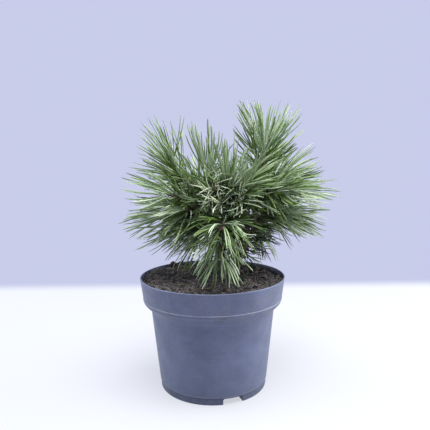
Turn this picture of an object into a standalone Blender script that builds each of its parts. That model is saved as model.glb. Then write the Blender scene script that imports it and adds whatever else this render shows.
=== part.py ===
"""A dwarf pine in a nursery pot, modelled in metres with +Z up.

The origin is the centre of the pot's flat underside. +X points to the viewer's right and +Y away
from the viewer. The pot stands on the floor plane, the potting mix fills it, the trunk stands on
the mix, and each shoot of the crown is a bough with a mass of needles at its tip.
"""
import math
import random

import bmesh
import bpy
import numpy as np
from mathutils import Matrix, Quaternion, Vector

# Clearance that touching pieces keep
GAP = 0.0003

# Pot: a turned plastic container with a banded rim, a sloping shoulder and a stepped foot
POT_SIDES = 48
POT_HEIGHT = 0.145
POT_WALL = 0.0014
RIM_RADIUS = 0.0950
LIP_ROUND = 0.0007
BAND_FOOT_HEIGHT = 0.117
BAND_FOOT_RADIUS = 0.0914
SHOULDER_FOOT_HEIGHT = 0.101
SHOULDER_FOOT_RADIUS = 0.0809
SHOULDER_STEPS = 3
WALL_FOOT_RADIUS = 0.0712
FOOT_HEIGHT = 0.0093
FOOT_RADIUS = 0.0700
FLOOR_THICKNESS = 0.0020

# Drainage: channels pressed up into the floor, each open at the foot and holed in its roof
CHANNEL_COUNT = 3
CHANNEL_TURN = 20.5
CHANNEL_WIDTH = 0.026
CHANNEL_HEIGHT = 0.0078
CHANNEL_CORNER = 0.0016
CHANNEL_START = 0.026
CHANNEL_COVER = 0.0014
DRAIN_RADIUS = 0.0032
DRAIN_DISTANCES = (0.037, 0.056)

# Potting mix: level at the trunk, heaped up at the rear left, with loose clods
MIX_TOP = 0.1402
MIX_RINGS = 4
MIX_BUMP = 0.0008
MIX_HEAP_PLACE = (-0.050, 0.048)
MIX_HEAP_HEIGHT = 0.0032
MIX_HEAP_SPREAD = 0.028
MIX_LEVEL_RADIUS = 0.018
MIX_LEVEL_FADE = 0.020
CLODS = (
    (-0.0575, 0.0640, 0.0050),
    (-0.0480, 0.0700, 0.0035),
    (0.0610, 0.0350, 0.0032),
    (0.0150, -0.0680, 0.0030),
)

# Trunk: a short leaning stem with a root flare
TRUNK_FOOT = (0.029, 0.027)
TRUNK_TOP = (0.048, 0.014)
TRUNK_TOP_HEIGHT = 0.214
TRUNK_SIDES = 12
TRUNK_RINGS = 9
TRUNK_FOOT_RADIUS = 0.0050
TRUNK_TOP_RADIUS = 0.0034
FLARE_RADIUS = 0.0034
FLARE_HEIGHT = 0.0055
FLARE_LOBES = 3
FLARE_LOBE_DEPTH = 0.30

# Boughs: name, height at which each leaves the trunk, then the place of its tip round the trunk's
# top, as a turn, a distance out and a height above the top
BOUGHS = (
    ("leader", 0.214, 0, 0.004, 0.034),
    ("left_low", 0.161, -172, 0.044, -0.007),
    ("right_rear", 0.163, 50, 0.018, -0.010),
    ("front_low", 0.170, -131, 0.036, 0.000),
    ("left", 0.179, -169, 0.060, 0.014),
    ("right_low", 0.180, 0, 0.020, 0.009),
    ("rear_left", 0.187, 143, 0.043, 0.018),
    ("rear_right", 0.188, 56, 0.028, 0.018),
    ("front", 0.190, -132, 0.027, 0.024),
    ("rear", 0.199, 107, 0.032, 0.020),
    ("upper_left", 0.203, -173, 0.046, 0.026),
    ("upper_right", 0.206, -20, 0.018, 0.033),
)
BOUGH_SHIFT = 0.0010
BOUGH_SHIFTS = 12
LOWEST_BOUGH = 0.1560
BOUGH_SIDES = 6
BOUGH_STEPS = 5
BOUGH_TEST_STEPS = 14
BOUGH_FOOT_RADIUS = 0.0028
BOUGH_TIP_RADIUS = 0.0022
BOUGH_CLIMBS = (15.0, 30.0, 0.0, 45.0, -15.0)
BOUGH_GAP = 0.0008

# Shoots: the bough that carries each, its bud's place round the trunk's top, and the turn and the
# climb of its last length
SHOOTS = (
    ("leader", -8, 0.015, 0.106, 180, 78),
    ("leader", -3, 0.044, 0.104, 0, 62),
    ("leader", 105, 0.045, 0.082, 120, 62),
    ("upper_left", -175, 0.101, 0.092, -168, 60),
    ("upper_left", -139, 0.067, 0.068, 170, 80),
    ("upper_right", -11, 0.050, 0.066, -10, 42),
    ("upper_right", -31, 0.065, 0.049, -21, 11),
    ("front", -108, 0.067, 0.051, -88, 25),
    ("front", -115, 0.087, 0.033, -91, 1),
    ("front_low", -112, 0.096, 0.006, -91, 1),
    ("front_low", -114, 0.092, -0.037, -92, -52),
    ("left", -162, 0.108, 0.040, -146, 19),
    ("left", -168, 0.116, 0.010, -171, -7),
    ("left_low", -171, 0.090, -0.018, 180, -30),
    ("right_low", 1, 0.057, 0.005, -8, -12),
    ("right_rear", 32, 0.060, -0.018, 38, -18),
    ("right_rear", 66, 0.034, -0.035, 40, -59),
    ("rear_left", 142, 0.105, 0.054, 129, 26),
    ("rear_left", 149, 0.105, -0.009, 146, -20),
    ("rear", 105, 0.087, 0.048, 98, 11),
    ("rear", 106, 0.084, -0.018, 100, -30),
    ("rear_right", 58, 0.083, 0.048, 56, 18),
    ("rear_right", 48, 0.078, 0.001, 34, -11),
)
FORK_LENGTH = 0.003
SHOOT_STEPS = 3
SHOOT_SIDES = 4
SHOOT_FOOT_RADIUS = 0.0019
SHOOT_TIP_RADIUS = 0.0017
BUD_LENGTH = 0.007
BUD_RADIUS = 0.0025

# Side twigs: where along its shoot each starts, and how far it leans out
SIDE_START = 0.55
SIDE_LEAN = 50.0
SIDE_LENGTH = 0.026
SIDE_RADIUS = 0.0015
SIDE_ROOM = 0.004

# Needles: stout spikes that lean out less and less towards the tip of their twig
SEED = 7
SHOOT_NEEDLES = 17
SIDE_NEEDLES = 6
NEEDLE_SPAN = 0.046
NEEDLE_LENGTH = 0.059
SIDE_NEEDLE_LENGTH = 0.050
NEEDLE_RADIUS = 0.0013
NEEDLE_ROOT_RADIUS = 0.0007
NEEDLE_BEND = 0.045
LEAN_FOOT = 72.0
LEAN_TIP = 18.0
LEAN_JITTER = 7.0
NEEDLE_GAP = 0.0006
NEEDLE_TRIES = 5
TRY_STEP = 0.31
SHORTEST_SHARE = 0.5
GOLDEN_TURN = math.pi * (3.0 - math.sqrt(5.0))

UP = Vector((0.0, 0.0, 1.0))


def clear_scene():
    for thing in list(bpy.data.objects):
        bpy.data.objects.remove(thing, do_unlink=True)


def make_material(name, colour, roughness):
    material = bpy.data.materials.new(name)
    material.use_nodes = True
    shader = material.node_tree.nodes["Principled BSDF"]
    shader.inputs["Base Color"].default_value = (*colour, 1.0)
    shader.inputs["Roughness"].default_value = roughness
    shader.inputs["Metallic"].default_value = 0.0
    return material


def make_object(name, build, material=None):
    """Make a named object from a bmesh, with its faces pointing out."""
    bmesh.ops.recalc_face_normals(build, faces=build.faces)
    mesh = bpy.data.meshes.new(name)
    build.to_mesh(mesh)
    build.free()
    if material is not None:
        mesh.materials.append(material)
    made = bpy.data.objects.new(name, mesh)
    bpy.context.scene.collection.objects.link(made)
    return made


def smooth(thing, angle=35.0):
    thing.data.shade_smooth()
    thing.data.set_sharp_from_angle(angle=math.radians(angle))


def make_cutter(thing):
    thing.hide_render = True
    thing.display_type = "WIRE"
    return thing


def cut(thing, cutter):
    """Subtract a closed cutter from a thing with a Boolean modifier."""
    modifier = thing.modifiers.new("cut " + cutter.name, "BOOLEAN")
    modifier.operation = "DIFFERENCE"
    modifier.solver = "EXACT"
    modifier.object = cutter


def bridge(build, rings):
    """Join rings of equal length with side faces."""
    for lower, upper in zip(rings, rings[1:]):
        count = len(lower)
        for index in range(count):
            after = (index + 1) % count
            build.faces.new((lower[index], lower[after], upper[after], upper[index]))


def turned(name, profile, sides, material=None):
    """Turn a profile of (radius, height) points, from the axis below to the axis above."""
    build = bmesh.new()
    rings = []
    for radius, height in profile[1:-1]:
        ring = []
        for index in range(sides):
            angle = 2.0 * math.pi * index / sides
            ring.append(build.verts.new((radius * math.cos(angle), radius * math.sin(angle), height)))
        rings.append(ring)
    bridge(build, rings)
    for ring, end in ((rings[0], profile[0]), (rings[-1], profile[-1])):
        pole = build.verts.new((0.0, 0.0, end[1]))
        for index in range(sides):
            build.faces.new((ring[index], ring[(index + 1) % sides], pole))
    return make_object(name, build, material)


def shoulder_points(shift):
    """The sloping shoulder between the wall and the band, moved inward by shift."""
    points = []
    for step in range(SHOULDER_STEPS + 1):
        share = step / SHOULDER_STEPS
        rise = (1.0 - math.cos(share * math.pi)) / 2.0
        radius = SHOULDER_FOOT_RADIUS + (BAND_FOOT_RADIUS - SHOULDER_FOOT_RADIUS) * rise
        height = SHOULDER_FOOT_HEIGHT + (BAND_FOOT_HEIGHT - SHOULDER_FOOT_HEIGHT) * share
        points.append((radius - shift, height))
    return points


def band_radius(height):
    """The outer radius of the band under the rim at a height."""
    slope = (RIM_RADIUS - BAND_FOOT_RADIUS) / (POT_HEIGHT - BAND_FOOT_HEIGHT)
    return BAND_FOOT_RADIUS + slope * (height - BAND_FOOT_HEIGHT)


def inner_profile(clearance, floor, top):
    """The turned space inside the pot, from its floor to a height at the rim."""
    shift = POT_WALL + clearance
    return [
        (0.0, floor),
        (FOOT_RADIUS - shift, floor),
        *shoulder_points(shift),
        (band_radius(top) - shift, top),
        (0.0, top),
    ]


def outer_profile():
    return [
        (0.0, 0.0),
        (FOOT_RADIUS - LIP_ROUND, 0.0),
        (FOOT_RADIUS, LIP_ROUND),
        (FOOT_RADIUS + LIP_ROUND / 2.0, FOOT_HEIGHT),
        (WALL_FOOT_RADIUS, FOOT_HEIGHT + LIP_ROUND),
        *shoulder_points(0.0),
        (BAND_FOOT_RADIUS + LIP_ROUND / 2.0, BAND_FOOT_HEIGHT + LIP_ROUND),
        (RIM_RADIUS - LIP_ROUND / 2.0, POT_HEIGHT - 3.0 * LIP_ROUND),
        (RIM_RADIUS, POT_HEIGHT - 2.0 * LIP_ROUND),
        (RIM_RADIUS - LIP_ROUND / 3.0, POT_HEIGHT),
        (0.0, POT_HEIGHT),
    ]


def channel_turn(index):
    """Turn of one drainage channel, with the first to the right of the viewer's side."""
    return math.radians(CHANNEL_TURN - 90.0 + 360.0 * index / CHANNEL_COUNT)


def channel_block(name, index, growth, end):
    """A bar with chamfered upper edges along one drainage channel, grown by a thickness."""
    half = CHANNEL_WIDTH / 2.0 + growth
    top = CHANNEL_HEIGHT + growth
    bottom = -FLOOR_THICKNESS
    section = (
        (-half, bottom),
        (half, bottom),
        (half, top - CHANNEL_CORNER),
        (half - CHANNEL_CORNER, top),
        (CHANNEL_CORNER - half, top),
        (-half, top - CHANNEL_CORNER),
    )
    build = bmesh.new()
    rings = []
    for reach in (CHANNEL_START - growth, end):
        rings.append([build.verts.new((reach, side, height)) for side, height in section])
    bridge(build, rings)
    for ring in rings:
        build.faces.new(ring)
    bmesh.ops.rotate(build, verts=build.verts, matrix=Matrix.Rotation(channel_turn(index), 3, "Z"))
    return make_cutter(make_object(name, build))


def drain_hole(index, distance):
    build = bmesh.new()
    turn = channel_turn(index)
    place = Matrix.Translation((distance * math.cos(turn), distance * math.sin(turn), CHANNEL_HEIGHT))
    bmesh.ops.create_cone(
        build, cap_ends=True, segments=8, radius1=DRAIN_RADIUS, radius2=DRAIN_RADIUS,
        depth=4.0 * CHANNEL_COVER, matrix=place)
    return make_cutter(make_object(f"drain_{index}_{distance:.3f}", build))


def make_pot(material):
    """The pot: a turned body less its inside, with the channels' covers left standing in it."""
    inside = turned("pot_inside", inner_profile(0.0, FLOOR_THICKNESS, POT_HEIGHT + POT_WALL), POT_SIDES)
    make_cutter(inside)
    pot = turned("pot", outer_profile(), POT_SIDES, material)
    beyond = WALL_FOOT_RADIUS + CHANNEL_WIDTH
    for index in range(CHANNEL_COUNT):
        cut(inside, channel_block(f"channel_cover_{index}", index, CHANNEL_COVER, beyond))
    cut(pot, inside)
    for index in range(CHANNEL_COUNT):
        cut(pot, channel_block(f"channel_{index}", index, 0.0, beyond))
        for distance in DRAIN_DISTANCES:
            cut(pot, drain_hole(index, distance))
    smooth(pot)
    return pot


def mix_height(x, y, draws):
    """Height of the mix's uneven surface, level round the trunk's foot."""
    bump = 0.0
    for turn, pitch, phase in draws:
        bump += MIX_BUMP * math.sin((x * math.cos(turn) + y * math.sin(turn)) * pitch + phase)
    away = math.hypot(x - MIX_HEAP_PLACE[0], y - MIX_HEAP_PLACE[1])
    bump += MIX_HEAP_HEIGHT * math.exp(-((away / MIX_HEAP_SPREAD) ** 2))
    trunk_distance = math.hypot(x - TRUNK_FOOT[0], y - TRUNK_FOOT[1])
    share = min(max((trunk_distance - MIX_LEVEL_RADIUS) / MIX_LEVEL_FADE, 0.0), 1.0)
    return MIX_TOP + bump * share * share * (3.0 - 2.0 * share)


def make_clod(name, x, y, radius, height):
    build = bmesh.new()
    bmesh.ops.create_icosphere(build, subdivisions=1, radius=radius)
    draw = random.Random(name)
    for vertex in build.verts:
        vertex.co *= draw.uniform(0.82, 1.12)
    bmesh.ops.translate(build, verts=build.verts, vec=(x, y, height))
    return make_object(name, build)


def make_mix(material):
    """The potting mix: what fills the pot over its floor and channels, with an uneven top."""
    draw = random.Random(SEED)
    draws = [(draw.uniform(0.0, math.pi), draw.uniform(90.0, 260.0), draw.uniform(0.0, 6.3))
             for _ in range(4)]
    profile = inner_profile(GAP, FLOOR_THICKNESS + GAP, MIX_TOP)
    edge = profile[-2][0]
    mix = turned("potting_mix", profile, POT_SIDES, material)
    build = bmesh.new()
    build.from_mesh(mix.data)
    lid = [face for face in build.faces if face.normal.z > 0.9]
    for _ in range(MIX_RINGS):
        bmesh.ops.inset_region(build, faces=lid, thickness=edge / (MIX_RINGS + 1))
    for vertex in build.verts:
        if vertex.co.z > MIX_TOP - GAP:
            vertex.co.z = mix_height(vertex.co.x, vertex.co.y, draws)
            if math.hypot(vertex.co.x, vertex.co.y) > edge - GAP:
                fit = (band_radius(vertex.co.z) - POT_WALL - GAP) / edge
                vertex.co.x *= fit
                vertex.co.y *= fit
    build.to_mesh(mix.data)
    build.free()
    beyond = WALL_FOOT_RADIUS + CHANNEL_WIDTH
    for index in range(CHANNEL_COUNT):
        cut(mix, channel_block(f"mix_over_channel_{index}", index, CHANNEL_COVER + GAP, beyond))
    fuse(mix, [make_clod(f"clod_{index}", x, y, radius, mix_height(x, y, draws) + 0.5 * radius)
               for index, (x, y, radius) in enumerate(CLODS)])
    smooth(mix)
    return mix


def trunk_share(height):
    """How far up the trunk a height is, from 0 at its foot to 1 at its top."""
    foot = MIX_TOP + GAP
    return (height - foot) / (TRUNK_TOP_HEIGHT - foot)


def trunk_centre(height):
    """The leaning trunk's middle at a height: it leans most at its foot."""
    lean = math.sin(min(trunk_share(height), 1.0) * math.pi / 2.0)
    x = TRUNK_FOOT[0] + (TRUNK_TOP[0] - TRUNK_FOOT[0]) * lean
    y = TRUNK_FOOT[1] + (TRUNK_TOP[1] - TRUNK_FOOT[1]) * lean
    return Vector((x, y, height))


def trunk_radius(height, angle):
    """The trunk's radius at a height and a turn, with the lobes of its root flare."""
    share = min(max(trunk_share(height), 0.0), 1.0)
    radius = TRUNK_FOOT_RADIUS + (TRUNK_TOP_RADIUS - TRUNK_FOOT_RADIUS) * share
    rise = height - MIX_TOP - GAP
    flare = FLARE_RADIUS * math.exp(-rise / FLARE_HEIGHT)
    return radius + flare * (1.0 + FLARE_LOBE_DEPTH * math.cos(FLARE_LOBES * angle))


def make_trunk(name, growth, material=None):
    """The trunk, or with a growth the space that limbs on it keep clear of."""
    foot = MIX_TOP + GAP
    build = bmesh.new()
    rings = []
    for step in range(TRUNK_RINGS + 2):
        share = min(step / TRUNK_RINGS, 1.0) ** 1.5
        height = foot + (TRUNK_TOP_HEIGHT - foot) * share
        shrink = 0.0
        if step > TRUNK_RINGS:
            height += TRUNK_TOP_RADIUS / 2.0 + growth
            shrink = TRUNK_TOP_RADIUS / 2.0
        centre = trunk_centre(height)
        ring = []
        for index in range(TRUNK_SIDES):
            angle = 2.0 * math.pi * index / TRUNK_SIDES
            radius = trunk_radius(height, angle) + growth - shrink
            offset = Vector((math.cos(angle), math.sin(angle), 0.0)) * radius
            ring.append(build.verts.new(centre + offset))
        rings.append(ring)
    bridge(build, rings)
    build.faces.new(rings[0])
    build.faces.new(rings[-1])
    trunk = make_object(name, build, material)
    smooth(trunk)
    return trunk


def direction(turn, climb):
    """A unit vector from a turn round +Z and a climb above the level, in degrees."""
    turn = math.radians(turn)
    climb = math.radians(climb)
    return Vector((math.cos(turn) * math.cos(climb), math.sin(turn) * math.cos(climb), math.sin(climb)))


def tube(name, path, radii, sides, material=None):
    """A closed tapering limb along a path, whose rings turn with it; a zero radius is a point."""
    build = bmesh.new()
    rings = []
    side = path[1] - path[0]
    across = side.orthogonal().normalized()
    for index, point in enumerate(path):
        before = path[max(index - 1, 0)]
        after = path[min(index + 1, len(path) - 1)]
        along = (after - before).normalized()
        across = (across - along * across.dot(along)).normalized()
        other = along.cross(across)
        if radii[index] == 0.0:
            rings.append([build.verts.new(point)])
            continue
        ring = []
        for step in range(sides):
            angle = 2.0 * math.pi * step / sides
            offset = across * math.cos(angle) + other * math.sin(angle)
            ring.append(build.verts.new(point + offset * radii[index]))
        rings.append(ring)
    full = [ring for ring in rings if len(ring) == sides]
    bridge(build, full)
    build.faces.new(full[0])
    if len(rings[-1]) == 1:
        for step in range(sides):
            build.faces.new((full[-1][step], full[-1][(step + 1) % sides], rings[-1][0]))
    else:
        build.faces.new(full[-1])
    return make_object(name, build, material)


def fuse(core, parts):
    """Join closed parts to a core by one union on a collection, and keep the one large body."""
    group = bpy.data.collections.new(core.name + "_parts")
    for part in parts:
        group.objects.link(part)
    union = core.modifiers.new("union", "BOOLEAN")
    union.operation = "UNION"
    union.operand_type = "COLLECTION"
    union.collection = group
    union.solver = "EXACT"
    graph = bpy.context.evaluated_depsgraph_get()
    mesh = bpy.data.meshes.new_from_object(core.evaluated_get(graph))
    mesh.name = core.name
    core.modifiers.clear()
    core.data = mesh
    for part in parts:
        bpy.data.objects.remove(part, do_unlink=True)
    bpy.data.collections.remove(group)
    keep_largest_body(mesh)


def keep_largest_body(mesh):
    """Drop the loose scraps that a union can leave."""
    build = bmesh.new()
    build.from_mesh(mesh)
    bodies = []
    seen = set()
    for start in build.verts:
        if start in seen:
            continue
        body = {start}
        edge = [start]
        while edge:
            vertex = edge.pop()
            for link in vertex.link_edges:
                other = link.other_vert(vertex)
                if other not in body:
                    body.add(other)
                    edge.append(other)
        seen |= body
        bodies.append(body)
    bodies.sort(key=len)
    scraps = [vertex for body in bodies[:-1] for vertex in body]
    bmesh.ops.delete(build, geom=scraps, context="VERTS")
    build.to_mesh(mesh)
    build.free()


class Limits:
    """The round-ended bars that stand for every limb and needle, for keeping them apart."""

    def __init__(self):
        self.starts = []
        self.ends = []
        self.radii = []
        self.owners = []

    def add(self, start, end, radius, owner):
        self.starts.append(tuple(start))
        self.ends.append(tuple(end))
        self.radii.append(radius)
        self.owners.append(owner)

    def gap(self, start, end, radius, owner):
        """The smallest gap from a new bar to those of other owners."""
        others = np.array([name != owner for name in self.owners])
        if not others.any():
            return math.inf
        b0 = np.array(self.starts)[others]
        b1 = np.array(self.ends)[others]
        a0 = np.array(start)
        d1 = np.array(end) - a0
        d2 = b1 - b0
        r = a0 - b0
        a = d1 @ d1
        b = d2 @ d1
        c = r @ d1
        e = np.maximum((d2 * d2).sum(axis=1), 1e-12)
        f = (d2 * r).sum(axis=1)
        spread = a * e - b * b
        s = np.where(spread > 1e-15, np.clip((b * f - c * e) / np.maximum(spread, 1e-15), 0.0, 1.0), 0.0)
        t = np.clip((b * s + f) / e, 0.0, 1.0)
        s = np.clip((b * t - c) / a, 0.0, 1.0)
        between = r + s[:, None] * d1 - t[:, None] * d2
        return float((np.linalg.norm(between, axis=1) - np.array(self.radii)[others]).min()) - radius


def curve_points(p0, p1, p2, p3, steps):
    """Points along a cubic curve."""
    points = []
    for step in range(steps + 1):
        t = step / steps
        u = 1.0 - t
        points.append(p0 * u ** 3 + p1 * 3.0 * u * u * t + p2 * 3.0 * u * t * t + p3 * t ** 3)
    return points


def taper(first, last, count):
    return [first + (last - first) * index / (count - 1) for index in range(count)]


def crown_place(turn, out, up):
    """A place given round the trunk's top."""
    return Vector((TRUNK_TOP[0], TRUNK_TOP[1], TRUNK_TOP_HEIGHT)) + direction(turn, 0.0) * out + UP * up


def bough_curve(height, climb, tip):
    """The control points of a bough, from the trunk's middle to its tip."""
    start = trunk_centre(height)
    away = tip - start
    level = Vector((away.x, away.y, 0.0)).normalized()
    climb = math.radians(climb) + 0.5 * math.asin(away.normalized().z)
    leave = level * math.cos(climb) + UP * math.sin(climb)
    if height == TRUNK_TOP_HEIGHT:
        leave = UP
    arrive = (away.normalized() + 0.4 * level).normalized()
    return start, start + leave * away.length * 0.4, tip - arrive * away.length * 0.3, tip


def bough_gap(curve, limits):
    """The smallest gap between a bough, outside the trunk, and the boughs made before it."""
    points = curve_points(*curve, BOUGH_TEST_STEPS)
    radii = taper(BOUGH_FOOT_RADIUS, BOUGH_TIP_RADIUS, len(points))
    gap = math.inf
    for start, end, radius in zip(points, points[1:], radii):
        if (start - curve[0]).length > TRUNK_TOP_RADIUS:
            gap = min(gap, limits.gap(start, end, radius, None))
    return gap


def bough_path(height, tip, limits):
    """A bough's middle line, from the nearest place on the trunk that clears the other boughs."""
    if height == TRUNK_TOP_HEIGHT:
        return curve_points(*bough_curve(height, 0.0, tip), BOUGH_STEPS)
    best = None
    for shift in range(2 * BOUGH_SHIFTS):
        offset = (shift + 1) // 2 * (1 if shift % 2 else -1)
        start = height + BOUGH_SHIFT * offset
        if not LOWEST_BOUGH < start < TRUNK_TOP_HEIGHT - BOUGH_FOOT_RADIUS:
            continue
        for climb in BOUGH_CLIMBS:
            curve = bough_curve(start, climb, tip)
            gap = bough_gap(curve, limits)
            if best is None or gap > best[0]:
                best = (gap, curve)
            if gap > BOUGH_GAP:
                return curve_points(*curve, BOUGH_STEPS)
    return curve_points(*best[1], BOUGH_STEPS)


def make_bough(name, path, trunk_space, limits, material):
    """One tapering limb, cut clear of the trunk that carries it."""
    radii = taper(BOUGH_FOOT_RADIUS, BOUGH_TIP_RADIUS, len(path))
    bough = tube("bough_" + name, path, radii, BOUGH_SIDES, material)
    cut(bough, trunk_space)
    smooth(bough)
    for start, end, radius in zip(path, path[1:], radii):
        limits.add(start, end, radius, "bough_" + name)
    return bough


class Twig:
    """A twig along a path, with the needles that grow on its last length."""

    def __init__(self, path, radii, needle_count, needle_length):
        self.path = path
        self.radii = radii
        self.needle_count = needle_count
        self.needle_length = needle_length
        self.length = sum((after - before).length for before, after in zip(path, path[1:]))

    def place(self, share):
        """The point at a share of the twig's length, and the way that the twig points there."""
        left = share * self.length
        for before, after in zip(self.path, self.path[1:]):
            step = (after - before).length
            if left <= step or after is self.path[-1]:
                return before.lerp(after, left / step), (after - before).normalized()
            left -= step

    def distance(self, point):
        """Distance from a point to the twig's last length."""
        start, end = self.path[-2], self.path[-1]
        step = end - start
        share = (point - start).dot(step) / step.dot(step)
        return (point - start.lerp(end, min(max(share, 0.0), 1.0))).length

    def needle(self, index, draw):
        """Root, middle and tip of one needle, by its place along the twig."""
        share = min((index + 0.7) / self.needle_count, 0.97)
        bare = max(1.0 - NEEDLE_SPAN / self.length, 0.12)
        root, along = self.place(bare + (1.0 - bare) * share)
        lean = LEAN_FOOT + (LEAN_TIP - LEAN_FOOT) * share + draw.uniform(-LEAN_JITTER, LEAN_JITTER)
        turn = index * GOLDEN_TURN + draw.uniform(-0.4, 0.4)
        side = Quaternion(along, turn) @ along.orthogonal().normalized()
        lean = math.radians(lean)
        aim = along * math.cos(lean) + side * math.sin(lean)
        length = self.needle_length * draw.uniform(0.92, 1.04)
        bend = (along * math.sin(lean) - side * math.cos(lean)) * length * NEEDLE_BEND
        return root, root + aim * length * 0.5 - bend, root + aim * length


def shoot_twig(tip, arrive, is_stem, place, heading, climb):
    """A shoot to its bud: a mass's first stands on its bough's tip, and the next grow out of it."""
    bud = crown_place(*place)
    along = direction(heading, climb)
    fork = tip + arrive * FORK_LENGTH
    reach = (bud - fork).length
    path = curve_points(fork, fork + arrive * reach * 0.2, bud - along * reach * 0.45, bud, SHOOT_STEPS)
    if is_stem:
        path.insert(0, tip + arrive * GAP)
    radii = taper(SHOOT_FOOT_RADIUS, SHOOT_TIP_RADIUS, len(path))
    return Twig(path, radii, SHOOT_NEEDLES, NEEDLE_LENGTH)


def side_twig(shoot, owner, limits, draw):
    """A side twig of a shoot, turned to where it clears other limbs, or nothing."""
    start, along = shoot.place(SIDE_START)
    turn = draw.uniform(0.0, 2.0 * math.pi)
    lean = math.radians(SIDE_LEAN)
    best = None
    for attempt in range(9):
        side = Quaternion(along, turn + attempt * GOLDEN_TURN) @ along.orthogonal().normalized()
        end = start + (along * math.cos(lean) + side * math.sin(lean)) * SIDE_LENGTH
        gap = limits.gap(start, end, SIDE_RADIUS, owner)
        if best is None or gap > best[0]:
            best = (gap, end)
        if gap > 3.0 * SIDE_ROOM:
            break
    if best[0] < SIDE_ROOM:
        return None
    return Twig((start, best[1]), (SIDE_RADIUS, SIDE_RADIUS), SIDE_NEEDLES, SIDE_NEEDLE_LENGTH)


def clears_pot(point):
    """Whether a needle's tip stays above the mix, and above the rim where it reaches that far."""
    if math.hypot(point.x, point.y) < RIM_RADIUS - 4.0 * POT_WALL:
        return point.z > MIX_TOP + MIX_HEAP_HEIGHT
    return point.z > POT_HEIGHT + 2.0 * NEEDLE_RADIUS


def in_own_space(point, owner, shoots):
    """Whether a point is nearer to a shoot of its own mass than to any other mass's."""
    own = min(twig.distance(point) for name, twig in shoots if name == owner)
    return all(own <= twig.distance(point) for name, twig in shoots if name != owner)


def place_needle(twig, index, owner, shoots, limits, draw):
    """A needle that stays in its mass's space and clear of other pieces, or nothing."""
    for attempt in range(NEEDLE_TRIES):
        root, middle, tip = twig.needle(index + TRY_STEP * attempt, draw)
        share = 1.0 - (1.0 - SHORTEST_SHARE) * attempt / (NEEDLE_TRIES - 1)
        middle = root + (middle - root) * share
        tip = root + (tip - root) * share
        if not in_own_space(tip, owner, shoots) or not clears_pot(tip):
            continue
        radius = NEEDLE_RADIUS + NEEDLE_GAP
        gap = min(limits.gap(root, middle, radius, owner), limits.gap(middle, tip, radius, owner))
        if gap > 0.0:
            limits.add(root, middle, NEEDLE_RADIUS, owner)
            limits.add(middle, tip, NEEDLE_RADIUS, owner)
            return root, middle, tip
    return None


def shoot_body(name, twig, material=None):
    """A shoot with the bud at its tip."""
    along = (twig.path[-1] - twig.path[-2]).normalized()
    bud = twig.path[-1]
    path = [*twig.path[:-1], bud - along * BUD_LENGTH * 0.4, bud, bud + along * BUD_LENGTH * 0.6]
    radii = [*twig.radii[:-1], SHOOT_TIP_RADIUS, BUD_RADIUS, 0.0]
    return tube(name, path, radii, SHOOT_SIDES, material)


def make_mass(owner, twigs, needles, material):
    """A mass's shoots, side twigs and needles, joined into one body."""
    core = shoot_body(owner, twigs[0], material)
    parts = []
    for index, twig in enumerate(twigs[1:]):
        if len(twig.path) > 2:
            parts.append(shoot_body(f"{owner}_shoot_{index}", twig))
        else:
            parts.append(tube(f"{owner}_twig_{index}", twig.path, twig.radii, 3))
    radii = (NEEDLE_ROOT_RADIUS, NEEDLE_RADIUS, 0.0)
    for index, points in enumerate(needles):
        parts.append(tube(f"{owner}_needle_{index}", points, radii, 3))
    fuse(core, parts)
    core.data.materials.clear()
    core.data.materials.append(material)
    return core


def add_path(limits, path, radius, owner):
    for start, end in zip(path, path[1:]):
        limits.add(start, end, radius, owner)


def make_crown(trunk_space, bark, foliage):
    """Every bough first, then every mass's twigs, then needles dealt to the twigs in turn."""
    limits = Limits()
    draw = random.Random(SEED)
    paths = {}
    for name, height, *place in BOUGHS:
        paths[name] = bough_path(height, crown_place(*place), limits)
        make_bough(name, paths[name], trunk_space, limits, bark)
    height = MIX_TOP + GAP
    while height < TRUNK_TOP_HEIGHT:
        upper = min(height + FLARE_HEIGHT, TRUNK_TOP_HEIGHT)
        limits.add(trunk_centre(height), trunk_centre(upper), trunk_radius(height, 0.0), "trunk")
        height = upper
    shoots = []
    for name, turn, out, up, heading, climb in SHOOTS:
        path = paths[name]
        arrive = (path[-1] - path[-2]).normalized()
        is_stem = all(owner != "needles_" + name for owner, _ in shoots)
        shoot = shoot_twig(path[-1], arrive, is_stem, (turn, out, up), heading, climb)
        shoots.append(("needles_" + name, shoot))
        add_path(limits, shoot.path, BUD_RADIUS, "needles_" + name)
    twigs = list(shoots)
    for owner, shoot in shoots:
        side = side_twig(shoot, owner, limits, draw)
        if side is not None:
            twigs.append((owner, side))
            add_path(limits, side.path, SIDE_RADIUS, owner)
    needles = {owner: [] for owner, _ in shoots}
    for index in range(SHOOT_NEEDLES):
        for owner, twig in twigs:
            if index < twig.needle_count:
                placed = place_needle(twig, index, owner, shoots, limits, draw)
                if placed is not None:
                    needles[owner].append(placed)
    for owner, grown in needles.items():
        make_mass(owner, [twig for name, twig in twigs if name == owner], grown, foliage)


def main():
    clear_scene()
    plastic = make_material("pot_plastic", (0.055, 0.065, 0.085), 0.55)
    peat = make_material("potting_mix", (0.030, 0.022, 0.017), 0.95)
    bark = make_material("bark", (0.085, 0.055, 0.035), 0.85)
    foliage = make_material("needles", (0.10, 0.19, 0.08), 0.50)
    make_pot(plastic)
    make_mix(peat)
    make_trunk("trunk", 0.0, bark)
    trunk_space = make_cutter(make_trunk("trunk_space", GAP))
    make_crown(trunk_space, bark, foliage)


main()
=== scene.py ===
"""Looks for the dwarf pine in its nursery pot: plastic, potting mix, bark, shoots and needles.

Everything is in metres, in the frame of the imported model, with +X to the viewer's right and +Y away
from the viewer. The boughs, shoots and needles grow by the rule of the part's source, carried on to
finer twigs and to needles of life size, which stand in pairs.
"""

import math
import random
from collections import namedtuple

import bmesh
import bpy
import numpy as np
from mathutils import Matrix, Vector, noise


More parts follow.
